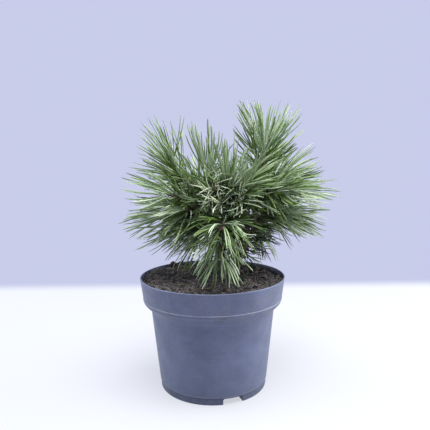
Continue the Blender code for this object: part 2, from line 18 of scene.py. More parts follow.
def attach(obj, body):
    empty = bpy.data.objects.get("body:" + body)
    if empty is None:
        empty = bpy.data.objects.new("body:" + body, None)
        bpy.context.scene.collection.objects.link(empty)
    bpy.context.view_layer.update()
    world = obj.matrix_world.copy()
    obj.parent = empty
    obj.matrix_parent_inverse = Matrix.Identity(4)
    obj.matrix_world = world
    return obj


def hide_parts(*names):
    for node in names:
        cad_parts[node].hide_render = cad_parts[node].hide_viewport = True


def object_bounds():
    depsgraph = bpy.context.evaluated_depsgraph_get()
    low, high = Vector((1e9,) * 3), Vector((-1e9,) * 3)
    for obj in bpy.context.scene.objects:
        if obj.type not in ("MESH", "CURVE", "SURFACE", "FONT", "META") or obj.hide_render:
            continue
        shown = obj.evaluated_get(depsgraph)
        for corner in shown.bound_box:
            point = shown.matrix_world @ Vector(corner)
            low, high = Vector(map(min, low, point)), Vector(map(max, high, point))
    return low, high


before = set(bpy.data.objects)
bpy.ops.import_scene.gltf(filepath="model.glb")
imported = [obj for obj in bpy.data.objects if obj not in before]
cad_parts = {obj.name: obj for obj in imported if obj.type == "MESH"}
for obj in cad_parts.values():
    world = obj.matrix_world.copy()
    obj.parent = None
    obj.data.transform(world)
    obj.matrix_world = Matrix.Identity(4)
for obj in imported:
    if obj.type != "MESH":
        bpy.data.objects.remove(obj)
CAD_BOX = [list(corner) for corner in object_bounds()]

# The camera that fits the photograph, and where it stands
PICTURE_SIDE = 430.0
FOCAL_PIXELS = 461.4
SENSOR_MM = 36.0
CAMERA_PLACE = (0.0042, -0.600, 0.2919)
CAMERA_PITCH = 6.39
CAMERA_ROLL = 0.59

# Clearance that touching pieces keep in the source
GAP = 0.0003

# Pot, as in the source, with the fine edges of the moulding
POT_SIDES = 192
POT_HEIGHT = 0.145
POT_WALL = 0.0014
RIM_RADIUS = 0.0950
BAND_FOOT_HEIGHT = 0.117
BAND_FOOT_RADIUS = 0.0914
SHOULDER_FOOT_HEIGHT = 0.101
SHOULDER_FOOT_RADIUS = 0.0809
SHOULDER_STEPS = 12
WALL_FOOT_RADIUS = 0.0712
WALL_STEPS = 10
FOOT_HEIGHT = 0.0093
FOOT_RADIUS = 0.0700
FLOOR_THICKNESS = 0.0020
LIP_ROUND = 0.0007
EDGE_ROUND = 0.0006
BEAD_RADIUS = 0.0008
BEAD_STEP = 0.0005

# Drainage channels under the floor
CHANNEL_COUNT = 3
CHANNEL_TURN = 20.5
CHANNEL_WIDTH = 0.026
CHANNEL_HEIGHT = 0.0078
CHANNEL_CORNER = 0.0016
CHANNEL_START = 0.026
CHANNEL_COVER = 0.0014
DRAIN_RADIUS = 0.0032
DRAIN_DISTANCES = (0.037, 0.056)

# Potting mix, whose waves are drawn from the source's seed
SEED = 7
MIX_TOP = 0.1402
MIX_BUMP = 0.0008
MIX_HEAP_PLACE = (-0.050, 0.048)
MIX_HEAP_HEIGHT = 0.0032
MIX_HEAP_SPREAD = 0.028
MIX_LEVEL_RADIUS = 0.018
MIX_LEVEL_FADE = 0.020
MIX_RINGS = 92
MIX_SPOKES = 360
MIX_CRUMBLE = ((120.0, 0.0018), (270.0, 0.0024), (600.0, 0.0012), (1400.0, 0.0003))
CLODS = (
    (-0.0575, 0.0640, 0.0050),
    (-0.0480, 0.0700, 0.0035),
    (0.0610, 0.0350, 0.0032),
    (0.0150, -0.0680, 0.0030),
)

# Relief of the clods: the pitch and depth of each wave, and the way that it is shifted
CLOD_PITCH = 2.2
CLOD_WAVES = ((1.0, 0.16, (1.0, 0.0, 0.0)), (3.1, 0.10, (0.0, 1.0, 0.0)), (7.3, 0.05, (0.0, 0.0, 0.0)))
CLOD_MOST = 1.1

# Loose crumbs: piece, material, how many, least and most size, and how rough each one is
CRUMBS = (
    ("mix_peat_crumbs", "peat_crumb", 1900, 0.0005, 0.0031, 0.34),
    ("mix_bark_crumbs", "bark_crumb", 560, 0.0005, 0.0026, 0.38),
)
CRUMB_POWER = 3.5

# Strands that lie on the mix. A dropped needle has a place, a turn in degrees and a length
STRAND_POINTS = 9
STRAND_CLEARANCE = 0.0006
FIBRE_COUNT = 170
FIBRE_MARGIN = 0.014
FALLEN_RADIUS = 0.00055
FALLEN_BEND = -6.0
FALLEN_ARCH = 0.0012
FALLEN_NEEDLES = (
    (-0.058, -0.030, -14, 0.034),
    (-0.020, -0.062, 28, 0.030),
    (0.050, -0.045, 160, 0.027),
    (0.058, 0.020, 75, 0.026),
    (-0.030, 0.052, 200, 0.030),
)

# Trunk
TRUNK_FOOT = (0.029, 0.027)
TRUNK_TOP = (0.048, 0.014)
TRUNK_TOP_HEIGHT = 0.214
TRUNK_FOOT_RADIUS = 0.0050
TRUNK_TOP_RADIUS = 0.0034
FLARE_RADIUS = 0.0034
FLARE_HEIGHT = 0.0055
FLARE_LOBES = 3
FLARE_LOBE_DEPTH = 0.30
TRUNK_SUNK = 0.0015
TRUNK_STEP = 0.0006
TRUNK_SIDES = 56
TRUNK_RELIEF = 0.00045
TRUNK_ROUNDING = 1.6

# Boughs: name, height at which each leaves the trunk, its climb there, then the place of its tip
# round the trunk's top, as a turn, a distance out and a height above the top
BOUGHS = (
    ("leader", 0.214, 0, 0, 0.004, 0.034),
    ("left_low", 0.161, 15, -172, 0.044, -0.007),
    ("right_rear", 0.164, 15, 50, 0.018, -0.010),
    ("front_low", 0.170, 15, -131, 0.036, 0.000),
    ("left", 0.179, 30, -169, 0.060, 0.014),
    ("right_low", 0.182, 15, 0, 0.020, 0.009),
    ("rear_left", 0.187, 15, 143, 0.043, 0.018),
    ("rear_right", 0.194, 45, 56, 0.028, 0.018),
    ("front", 0.201, 0, -132, 0.027, 0.024),
    ("rear", 0.211, 0, 107, 0.032, 0.020),
    ("upper_left", 0.197, -15, -173, 0.046, 0.026),
    ("upper_right", 0.209, -15, -20, 0.018, 0.033),
)
BOUGH_STEPS = 5
BOUGH_FOOT_RADIUS = 0.0028
BOUGH_TIP_RADIUS = 0.0022
BOUGH_LEAVE = 0.4
BOUGH_ARRIVE = 0.3
BOUGH_LEVEL = 0.4
COLLAR_SWELL = 0.30
COLLAR_LENGTH = 0.004
LIMB_NODES = ["trunk"] + ["bough_" + row[0] for row in BOUGHS]
NEEDLE_NODES = ["needles_" + row[0] for row in BOUGHS]

# Habits of a twig's needles: their length, their width as a share of the usual, how much they curl
# and droop, how wide they lean at the foot and the tip of their twig, how many pairs stand on it,
# the length of twig that bears them, and how many side twigs it has
HABITS = {
    "plume": (0.060, 1.08, 0.18, 0.03, 48.0, 7.0, 41, 0.036, 0),
    "fan": (0.059, 1.08, 0.20, 0.04, 50.0, 7.0, 39, 0.040, 1),
    "brush": (0.059, 1.05, 0.32, 0.07, 56.0, 9.0, 39, 0.042, 2),
    "sparse": (0.056, 1.0, 0.35, 0.05, 52.0, 9.0, 23, 0.040, 0),
    "arching": (0.058, 1.0, 0.60, 0.20, 60.0, 12.0, 41, 0.040, 2),
    "rosette": (0.050, 0.94, 0.90, 0.14, 88.0, 22.0, 53, 0.030, 2),
    "low": (0.047, 0.95, 0.60, 0.05, 64.0, 24.0, 42, 0.032, 2),
    "curly": (0.037, 0.80, 4.40, 0.06, 88.0, 14.0, 44, 0.034, 2),
    "side": (0.050, 1.0, 0.40, 0.07, 52.0, 9.0, 18, 0.040, 0),
    "curly_side": (0.035, 0.80, 4.40, 0.06, 88.0, 26.0, 23, 0.030, 0),
    "inner": (0.036, 0.94, 0.70, 0.10, 84.0, 50.0, 68, 0.070, 0),
    "old": (0.030, 0.94, 0.50, 0.10, 56.0, 36.0, 22, 0.070, 0),
}
INNER_HABITS = ("inner", "old")
COOL_HABITS = ("arching", "rosette", "low", "curly", "curly_side")

# Shoots: the bough that carries each, its bud's place round the trunk's top, the turn and the
# climb of its last length, and the habit of its needles
SHOOTS = (
    ("leader", -7, 0.016, 0.108, 179, 61, "plume"),
    ("leader", -4, 0.029, 0.106, 20, 58, "plume"),
    ("leader", 59, 0.052, 0.076, 68, 51, "fan"),
    ("upper_left", -175, 0.103, 0.084, 178, 67, "plume"),
    ("upper_left", -141, 0.067, 0.072, -170, 80, "plume"),
    ("upper_left", -173, 0.099, 0.065, -177, 15, "sparse"),
    ("upper_right", -12, 0.048, 0.063, -2, 36, "brush"),
    ("upper_right", -32, 0.063, 0.045, -15, 3, "brush"),
    ("front", -114, 0.070, 0.060, -90, 66, "fan"),
    ("front", -96, 0.059, 0.053, -17, 15, "brush"),
    ("front", -115, 0.087, 0.033, -90, 1, "curly"),
    ("front", -123, 0.082, 0.046, -100, 20, "curly"),
    ("front", -104, 0.068, 0.033, -66, 0, "curly"),
    ("front_low", -112, 0.096, 0.005, -93, -22, "rosette"),
    ("front_low", -114, 0.092, -0.029, -94, -62, "low"),
    ("left", -162, 0.108, 0.041, -171, 13, "brush"),
    ("left", -168, 0.111, 0.013, -175, -3, "brush"),
    ("left_low", -171, 0.099, -0.002, -173, -12, "brush"),
    ("left_low", -172, 0.070, -0.017, -157, -74, "sparse"),
    ("right_low", 1, 0.053, 0.011, -13, -17, "brush"),
    ("right_rear", 33, 0.059, -0.002, 20, -36, "sparse"),
    ("right_rear", 58, 0.036, -0.021, 14, -59, "sparse"),
    ("rear_left", 142, 0.105, 0.054, 129, 26, "brush"),
    ("rear_left", 149, 0.105, -0.009, 146, -20, "brush"),
    ("rear", 105, 0.087, 0.048, 98, 11, "arching"),
    ("rear", 106, 0.084, -0.018, 100, -30, "arching"),
    ("rear_right", 58, 0.083, 0.048, 56, 18, "brush"),
    ("rear_right", 48, 0.078, 0.001, 34, -11, "arching"),
)
FORK_LENGTH = 0.003
SHOOT_FOOT_RADIUS = 0.0019
SHOOT_TIP_RADIUS = 0.0016
SHOOT_LEAVE = 0.2
SHOOT_ARRIVE = 0.45
LINE_STEP = 0.0008

# The part of a shoot, from its foot, that bears last year's short needles, mostly dark with painted shade
OLD_PART = 0.6

# Buds: a large one at each tip, widest at a share of its length, and smaller ones round its foot
BUD_LENGTH = 0.0085
BUD_RADIUS = 0.0021
BUD_RINGS = 18
BUD_SIDES = 16
BUD_WIDEST = 0.42
BUD_POINT = 0.58
BUD_SUNK = 0.0025
SMALL_BUDS = 3
SMALL_BUD_RADIUS = 0.58
SMALL_BUD_SUNK = 0.0015
SMALL_BUD_OUT = 0.0008
SMALL_BUD_LEAN = 0.75

# Side twigs of each shoot: where each starts along it, how far it leans out and how long it is
SIDE_TWIGS = ((0.08, 50.0, 0.028), (0.25, 44.0, 0.026), (0.42, 38.0, 0.024))
SIDE_RADIUS = 0.0012
SIDE_ROOM = 0.003
SIDE_TRIES = 9

# Bumps of old needle bases: the sides of the limb, then their pitch and depth
BOUGH_BUMPS = (20, 0.0052, 0.00034)
SHOOT_BUMPS = (14, 0.0040, 0.00036)
SIDE_BUMPS = (8, 0.0034, 0.00026)

# Needles: pairs in a sheath, that lean out less and less towards the tip of their twig
CROWN_SEED = 30
SIDE_SEEDS = CROWN_SEED * 2000
NEEDLE_SEEDS = CROWN_SEED * 1000
NEEDLE_HALF_WIDTH = 0.00073
NEEDLE_RINGS = 9
NEEDLE_BEND = 0.040
NEEDLE_OUTLINE = ((0.0, -1.0), (0.0, 1.0), (-1.1, 0.55), (-1.1, -0.55))
NEEDLE_TAPER = (0.74, 0.92, 1.0, 1.0, 1.0, 1.0, 0.96, 0.84, 0.30)
PAIR_ANGLE = 8.0
TURN_JITTER = 0.4
LEAN_JITTER = 12.0
LEAST_LEAN = 3.0
LEAST_BARE = 0.06
STRAY_SHARE = 0.10
STRAY_LEAN = 24.0
LOOSE_CURL = 0.55
PAIR_TWIST = 1.6
LOCK_TURNS = 6
LOCK_STEPS = 3
LOCK_PULL = 0.50
LOCK_JITTER = 8.0
LENGTH_MOST = 1.07
LENGTH_SPREAD = 0.36
LENGTH_TRIES = (1.0, 0.86, 0.72, 0.58)
SPACE_SHARED = 0.006
LIMB_ROOM = 0.0008
SHEATH_LENGTH = 0.0055
SHEATH_RADIUS = 0.00105
SHEATH_SIDES = 5
SHEATH_MARKS = (-0.0012, SHEATH_LENGTH * 0.5, SHEATH_LENGTH)
SHEATH_TAPER = (0.9, 1.0, 0.78)
GOLDEN_TURN = math.pi * (3.0 - math.sqrt(5.0))

# How curl shapes a needle: a wave and a sweep to one side, or on a slim needle with more curl a
# hook, whose bend is steady, grows and waves, while it rises along its own axis
WAVE_REACH = 0.11
SWEEP_REACH = 0.13
SWEEP_TURN = 1.9
HOOK_CURL = 0.75
HOOK_WIDTH = 0.9
HOOK_BENDS = (0.25, 0.60, 0.35)
HOOK_RISE = 0.4
HOOK_PITCH = 1.7

# Colours of the plastic: its mottle, what lies on it, its painted highlights along edges and its painted
# shade low down
PLASTIC = {
    "base": (0.080, 0.095, 0.160),
    "mottle_dark": (0.074, 0.091, 0.156),
    "mottle_light": (0.109, 0.132, 0.223),
    "streak": (0.150, 0.168, 0.230),
    "smudge": (0.170, 0.180, 0.222),
    "dust": (0.150, 0.140, 0.145),
    "speck": (0.34, 0.335, 0.33),
    "painted_edge_highlight": (0.200, 0.215, 0.265),
    "shade": (0.045, 0.058, 0.105),
    "painted_foot_shade": (0.030, 0.036, 0.060),
}

# Earthy matter: its two browns, and the scales of its patches and its bumps
EARTHS = {
    "mix_earth": ((0.027, 0.0252, 0.0262), (0.150, 0.136, 0.132), 330.0, 1500.0),
    "peat_crumb": ((0.020, 0.0185, 0.0198), (0.104, 0.094, 0.091), 600.0, 2200.0),
    "bark_crumb": ((0.060, 0.052, 0.049), (0.180, 0.158, 0.145), 500.0, 2000.0),
    "clod_earth": ((0.016, 0.012, 0.011), (0.055, 0.040, 0.032), 500.0, 1600.0),
    "fibre_straw": ((0.060, 0.048, 0.040), (0.17, 0.140, 0.112), 300.0, 3000.0),
}

# Bark: its two browns and the scale of its cracks, and the colour of the flecks on all of it
BARKS = {
    "limb_bark": ((0.040, 0.027, 0.021), (0.150, 0.112, 0.086), 520.0),
    "twig_bark": ((0.062, 0.042, 0.028), (0.190, 0.140, 0.095), 800.0),
    "sheath_brown": ((0.064, 0.050, 0.035), (0.175, 0.143, 0.104), 900.0),
    "bud_scales": ((0.064, 0.034, 0.020), (0.180, 0.106, 0.064), 900.0),
}
BARK_FLECK = (0.26, 0.20, 0.15)

# Needles: the two colours that each tone drifts between. The near-black dark tone is painted shade, and
# the palest one, dealt to curls, is their pale waxy colour raised into a painted highlight
TONES = {
    "dark": ((0.009, 0.019, 0.005), (0.020, 0.040, 0.010)),
    "deep": ((0.050, 0.092, 0.011), (0.074, 0.128, 0.017)),
    "mid": ((0.142, 0.218, 0.074), (0.182, 0.268, 0.098)),
    "cool": ((0.166, 0.247, 0.130), (0.212, 0.302, 0.172)),
    "fresh": ((0.266, 0.350, 0.188), (0.316, 0.406, 0.236)),
    "pale": ((0.372, 0.446, 0.310), (0.440, 0.515, 0.382)),
    "pale_painted_glint": ((0.520, 0.610, 0.395), (0.640, 0.720, 0.520)),
    "grey": ((0.103, 0.120, 0.090), (0.150, 0.168, 0.132)),
    "straw": ((0.210, 0.160, 0.075), (0.270, 0.215, 0.110)),
}
FALLEN_TONE = ((0.085, 0.080, 0.042), (0.130, 0.108, 0.060))

# Tones dealt out to the pairs: by spray, by habit, and for old and inner needles by height, with
# the heights above the trunk's top and the shares of straw and old needles. Old and inner needles take
# darker tones as painted shade, and lighter ones above a height as painted light
SPRAY_TONES = (
    ("deep", "mid", "fresh", "fresh", "cool", "pale"),
    ("mid", "mid", "fresh", "cool", "fresh", "pale"),
    ("mid", "mid", "fresh", "pale", "cool", "fresh"),
)
COOL_TONES = ("dark", "deep", "dark", "mid", "cool", "cool", "fresh", "pale")
# Curls: the pale ones are partly their waxy colour, partly painted highlight; the near-black ones are
# painted shade
CURL_GLINT_AND_SHADE_TONES = ("pale_painted_glint", "pale_painted_glint", "dark", "dark", "dark")
INNER_SHADED_TONES = ("dark", "dark", "dark", "grey", "deep", "mid")
LOW_INNER_TONES = ("dark", "grey", "grey", "deep", "mid", "cool")
LIT_TONES = ("dark", "deep", "mid", "mid", "cool", "fresh")
OLD_SHADED_TONES = ("dark", "deep", "deep", "mid")
LIT_OLD_TONES = ("deep", "deep", "mid")
LIT_HEIGHT = 0.038
LOW_HEIGHT = 0.018
STRAW_SHARE = 0.002
OLD_SHARE = 0.60

# Floor: it fades into the backdrop between two distances, nearer in depth than in width
FLOOR_RADIUS = 4.0
FLOOR_FADE = (0.44, 0.53)
FLOOR_SQUEEZE = 0.75
FLOOR_CORNER = 0.15
FLOOR_WHITE = (0.15, 0.154, 0.165)
FLOOR_GLOW = (0.87, 0.89, 0.955)
FLOOR_GLOW_SHARE = 0.655
BACKDROP = (0.578, 0.608, 0.823)
AMBIENT = (0.440, 0.465, 0.615)

# Lights: name, place, size, power and colour, and the point that they all aim at
LIGHT_AIM = (0.0, 0.0, 0.2)
LIGHTS = (
    ("top_light", (0.15, -0.25, 1.45), 0.8, 37.5, (1.0, 0.99, 0.96)),
    ("right_light", (1.30, 0.12, 0.68), 1.2, 30.0, (1.0, 0.98, 0.96)),
    ("left_light", (-1.20, 0.20, 0.80), 1.2, 15.0, (0.96, 0.98, 1.0)),
)

UP = np.array((0.0, 0.0, 1.0))


def unit(vectors):
    """The same vectors with a length of one."""
    return vectors / np.linalg.norm(vectors, axis=-1, keepdims=True)


def direction(turn, climb):
    """A unit vector from a turn round +Z and a climb above the level, in degrees."""
    turn = math.radians(turn)
    climb = math.radians(climb)
    return np.array((math.cos(turn) * math.cos(climb), math.sin(turn) * math.cos(climb), math.sin(climb)))


def across_from(along):
    """A unit vector at right angles to another."""
    helper = UP if abs(along[2]) < 0.9 else np.array((1.0, 0.0, 0.0))
    return unit(np.cross(along, helper))


def swung(vector, axis, angle):
    """A vector turned round a unit axis by an angle in radians."""
    return (vector * math.cos(angle) + np.cross(axis, vector) * math.sin(angle)
            + axis * (axis @ vector) * (1.0 - math.cos(angle)))


def new_thing(name, data):
    """A new object in the scene."""
    thing = bpy.data.objects.new(name, data)
    bpy.context.scene.collection.objects.link(thing)
    return thing


class Heap:
    """Points and faces of many closed shapes that become one piece."""

    def __init__(self):
        self.points = []
        self.faces = []
        self.count = 0

    def add(self, points, face_sets):
        points = np.asarray(points, float).reshape(-1, 3)
        self.points.append(points)
        for faces in face_sets:
            self.faces += (np.asarray(faces) + self.count).tolist()
        self.count += len(points)

    def make(self, name, material, sharp_angle=50.0):
        mesh = bpy.data.meshes.new(name)
        mesh.from_pydata(np.concatenate(self.points).tolist(), [], self.faces)
        mesh.materials.append(material)
        mesh.shade_smooth()
        mesh.set_sharp_from_angle(angle=math.radians(sharp_angle))
        return new_thing(name, mesh)


def directions_across(paths, across):
    """Two directions across each path at each of its points, carried along it without a twist."""
    tangents = unit(np.gradient(paths, axis=1))
    first = np.empty_like(paths)
    for step in range(paths.shape[1]):
        tangent = tangents[:, step]
        across = unit(across - tangent * (across * tangent).sum(axis=-1, keepdims=True))
        first[:, step] = across
    return first, np.cross(tangents, first)


def sweep(paths, across, outlines):
    """Points of tubes along paths, whose rings are outlines of two numbers a point."""
    first, second = directions_across(paths, across)
    return (paths[:, :, None] + first[:, :, None] * outlines[..., :1]
            + second[:, :, None] * outlines[..., 1:])


def tube_faces(count, rings, sides):
    """The side faces and the end caps of tubes whose points come ring by ring."""
    base = np.arange(count)[:, None, None] * rings * sides
    ring = np.arange(rings - 1)[None, :, None] * sides
    side = np.arange(sides)[None, None, :]
    after = (side + 1) % sides
    quads = np.stack(
        (base + ring + side, base + ring + after, base + ring + sides + after, base + ring + sides + side),
        axis=-1).reshape(-1, 4)
    starts = (base[:, 0] + side[0, :, ::-1]).reshape(-1, sides)
    ends = (base[:, 0] + (rings - 1) * sides + side[0]).reshape(-1, sides)
    return quads, starts, ends


def round_outline(radii, sides):
    """Round rings with a radius for each ring, or for each ring and side."""
    angles = 2.0 * math.pi * np.arange(sides) / sides
    radii = np.asarray(radii, float)
    if radii.ndim == 1:
        radii = np.repeat(radii[:, None], sides, axis=1)
    return np.stack((radii * np.cos(angles), radii * np.sin(angles)), axis=-1)


def add_limb(heap, line, radii, sides):
    """Add one closed tube along a line to a heap."""
    line = np.asarray(line, float)
    outline = round_outline(radii, sides)
    along = unit(line[1] - line[0])
    points = sweep(line[None], across_from(along)[None], outline[None])
    heap.add(points, tube_faces(1, len(line), sides))


def make_object(name, build, material=None):
    """Make a named object from a bmesh, with its faces pointing out."""
    bmesh.ops.recalc_face_normals(build, faces=build.faces)
    mesh = bpy.data.meshes.new(name)
    build.to_mesh(mesh)
    build.free()
    if material is not None:
        mesh.materials.append(material)
    return new_thing(name, mesh)


def finish_piece(thing, nodes):
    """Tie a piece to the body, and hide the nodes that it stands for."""
    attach(thing, "root")
    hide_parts(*nodes)


def add_node(tree, kind, inputs=(), **settings):
    """Add a shader node, whose inputs take values or other nodes' outputs."""
    made = tree.nodes.new(kind)
    for name, value in settings.items():
        setattr(made, name, value)
    for name, value in dict(inputs).items():
        if isinstance(value, bpy.types.NodeSocket):
            tree.links.new(value, made.inputs[name])
        else:
            made.inputs[name].default_value = value
    return made


def new_material(name, colour, roughness, specular):
    """A material with its tree, its shader and the piece's own coordinates."""
    material = bpy.data.materials.new(name)
    material.use_nodes = True
    tree = material.node_tree
    shader = tree.nodes["Principled BSDF"]
    shader.inputs["Base Color"].default_value = (*colour, 1.0)
    shader.inputs["Roughness"].default_value = roughness
    shader.inputs["Specular IOR Level"].default_value = specular
    place = add_node(tree, "ShaderNodeTexCoord").outputs["Object"]
    return material, tree, shader, place


def stretched(tree, place, scales):
    """Coordinates scaled unevenly, for streaks and grain."""
    return add_node(tree, "ShaderNodeMapping", {"Vector": place, "Scale": scales}).outputs["Vector"]


def noise_of(tree, place, scale, detail, roughness=0.55, distortion=0.0):
    """A noise from 0 to 1."""
    inputs = {"Vector": place, "Scale": scale, "Detail": detail, "Roughness": roughness,
              "Distortion": distortion}
    return add_node(tree, "ShaderNodeTexNoise", inputs).outputs["Fac"]


def remap(tree, value, low, high, to_low=0.0, to_high=1.0, kind="LINEAR"):
    """A value spread from one range to another and held inside it."""
    inputs = {"Value": value, "From Min": low, "From Max": high, "To Min": to_low, "To Max": to_high}
    return add_node(tree, "ShaderNodeMapRange", inputs, interpolation_type=kind).outputs["Result"]


def patches(tree, place, noise_values, low, high, to_low=0.0, to_high=1.0):
    """A noise spread from one range to another."""
    return remap(tree, noise_of(tree, place, *noise_values), low, high, to_low, to_high)


def math_node(tree, kind, *values):
    return add_node(tree, "ShaderNodeMath", dict(enumerate(values)), operation=kind).outputs[0]


def times(tree, first, second):
    return math_node(tree, "MULTIPLY", first, second)


def mixed(tree, share, first, second):
    """A colour between two others, each a socket or three numbers."""
    inputs = {0: share}
    for index, colour in ((6, first), (7, second)):
        inputs[index] = colour if isinstance(colour, bpy.types.NodeSocket) else (*colour, 1.0)
    return add_node(tree, "ShaderNodeMix", inputs, data_type="RGBA").outputs[2]


def set_looks(tree, shader, colour, sheen, height, strength, distance):
    """Link a shader's colour, its roughness where that varies, and its bumps."""
    tree.links.new(colour, shader.inputs["Base Color"])
    if sheen is not None:
        tree.links.new(sheen, shader.inputs["Roughness"])
    bump = add_node(tree, "ShaderNodeBump", {"Height": height, "Strength": strength, "Distance": distance})
    tree.links.new(bump.outputs["Normal"], shader.inputs["Normal"])


def plastic_material():
    """Blue-grey moulded plastic: mottled, streaked round its wall, dusty and specked on its band,
    with painted highlights along its edges, painted shade darker down its wall and patchy painted shade on
    its foot."""
    material, tree, shader, place = new_material("pot_plastic", PLASTIC["base"], 0.5, 0.45)
    mottle = patches(tree, place, (34.0, 6.0, 0.65, 0.4), 0.3, 0.7)
    colour = mixed(tree, mottle, PLASTIC["mottle_dark"], PLASTIC["mottle_light"])
    round_wall = stretched(tree, place, (1.0, 1.0, 8.0))
    streak = patches(tree, round_wall, (60.0, 5.0, 0.65, 0.3), 0.50, 0.75, 0.0, 0.35)
    colour = mixed(tree, streak, colour, PLASTIC["streak"])
    smudge = patches(tree, place, (75.0, 6.0, 0.7, 0.6), 0.55, 0.75, 0.0, 0.30)
    colour = mixed(tree, smudge, colour, PLASTIC["smudge"])
    height = add_node(tree, "ShaderNodeSeparateXYZ", {0: place}).outputs["Z"]
    dust = times(tree, remap(tree, height, SHOULDER_FOOT_HEIGHT, BAND_FOOT_HEIGHT),
                 patches(tree, place, (52.0, 6.0, 0.7, 0.5), 0.48, 0.66, 0.0, 0.42))
    colour = mixed(tree, dust, colour, PLASTIC["dust"])
    cells = add_node(tree, "ShaderNodeTexVoronoi", {"Vector": place, "Scale": 600.0})
    spot = remap(tree, cells.outputs["Distance"], 0.16, 0.34, 1.0, 0.0)
    chance = add_node(tree, "ShaderNodeSeparateColor", {0: cells.outputs["Color"]}).outputs[0]
    chosen = remap(tree, chance, 0.50, 0.58)
    where = times(tree, patches(tree, place, (24.0, 2.0), 0.42, 0.60),
                  remap(tree, height, SHOULDER_FOOT_HEIGHT - 0.02, BAND_FOOT_HEIGHT, 0.25, 1.0))
    specks = times(tree, times(tree, spot, chosen), where)
    colour = mixed(tree, times(tree, specks, 0.62), colour, PLASTIC["speck"])
    # Painted highlights: patchy pale lines along the bead under the band and along the edge of the foot's
    # step
    painted_edge_highlight = patches(tree, place, (120.0, 4.0, 0.7), 0.30, 0.60, 0.25, 0.75)
    for edge, reach in ((BAND_FOOT_HEIGHT + BEAD_RADIUS, 0.0011), (FOOT_HEIGHT + EDGE_ROUND, 0.0009)):
        near = math_node(tree, "COMPARE", height, edge, reach)
        colour = mixed(tree, times(tree, near, painted_edge_highlight), colour, PLASTIC["painted_edge_highlight"])
    # Painted shade: the wall darkens towards its foot
    colour = mixed(tree, remap(tree, height, FOOT_HEIGHT, 0.055, 0.30, 0.0), colour, PLASTIC["shade"])
    # Painted shade, in patches, on the foot that is set in under the wall's step
    low = remap(tree, height, FOOT_HEIGHT, FOOT_HEIGHT - 0.001)
    painted_foot_shade_share = times(tree, low, patches(tree, place, (160.0, 5.0, 0.7), 0.40, 0.66, 0.35, 0.75))
    colour = mixed(tree, painted_foot_shade_share, colour, PLASTIC["painted_foot_shade"])
    sheen = patches(tree, place, (55.0, 5.0, 0.65), 0.3, 0.7, 0.40, 0.60)
    set_looks(tree, shader, colour, sheen, noise_of(tree, place, 1500.0, 2.0), 0.22, 0.0002)
    return material


def earth_material(name):
    """Crumbly organic matter between two browns."""
    dark, light, scale, bump_scale = EARTHS[name]
    material, tree, shader, place = new_material(name, dark, 0.95, 0.18)
    colour = mixed(tree, patches(tree, place, (scale, 6.0, 0.7), 0.38, 0.66), dark, light)
    set_looks(tree, shader, colour, None, noise_of(tree, place, bump_scale, 5.0, 0.7), 0.7, 0.0006)
    return material


def bark_material(name):
    """Scaly bark: dark in its cracks, greyer and lighter on its plates."""
    dark, light, crack_scale = BARKS[name]
    material, tree, shader, place = new_material(name, dark, 0.85, 0.25)
    plates = noise_of(tree, stretched(tree, place, (1.0, 1.0, 0.45)), crack_scale, 6.0, 0.68, 0.5)
    colour = mixed(tree, remap(tree, plates, 0.36, 0.62), dark, light)
    flecks = patches(tree, place, (crack_scale * 4.0, 3.0), 0.60, 0.72, 0.0, 0.5)
    colour = mixed(tree, flecks, colour, BARK_FLECK)
    set_looks(tree, shader, colour, None, plates, 0.8, 0.0008)
    return material


def needle_material(name, colour, tint):
    """A waxy needle in the plain green of its tone, which for some tones is painted shade or painted
    highlight, with a light drift of tone and a fine grain.
    """
    material, tree, shader, place = new_material(name, colour, 0.50, 0.26)
    colour = mixed(tree, patches(tree, place, (85.0, 2.0), 0.35, 0.65), colour, tint)
    sheen = patches(tree, place, (420.0, 2.0), 0.3, 0.7, 0.43, 0.58)
    set_looks(tree, shader, colour, sheen, noise_of(tree, place, 2600.0, 1.0), 0.12, 0.0001)
    return material


def arc(radius, height, size, first, last, steps):
    """Points of a round edge in a turned profile, round a centre, between two angles."""
    points = []
    for step in range(steps + 1):
        angle = math.radians(first + (last - first) * step / steps)
        points.append((radius + size * math.cos(angle), height + size * math.sin(angle)))
    return points


def shoulder_points(shift):
    """The sloping shoulder between the wall and the band, moved inward by shift."""
    points = []
    for step in range(SHOULDER_STEPS + 1):
        share = step / SHOULDER_STEPS
        rise = (1.0 - math.cos(share * math.pi)) / 2.0
        radius = SHOULDER_FOOT_RADIUS + (BAND_FOOT_RADIUS - SHOULDER_FOOT_RADIUS) * rise
        height = SHOULDER_FOOT_HEIGHT + (BAND_FOOT_HEIGHT - SHOULDER_FOOT_HEIGHT) * share
        points.append((radius - shift, height))
    return points


def band_radius(height):
    """The outer radius of the band under the rim at a height."""
    slope = (RIM_RADIUS - BAND_FOOT_RADIUS) / (POT_HEIGHT - BAND_FOOT_HEIGHT)
    return BAND_FOOT_RADIUS + slope * (height - BAND_FOOT_HEIGHT)


def wall_radius(height):
    """The outer radius of the wall between the foot and the shoulder at a height."""
    share = (height - FOOT_HEIGHT) / (SHOULDER_FOOT_HEIGHT - FOOT_HEIGHT)
    return WALL_FOOT_RADIUS + (SHOULDER_FOOT_RADIUS - WALL_FOOT_RADIUS) * share


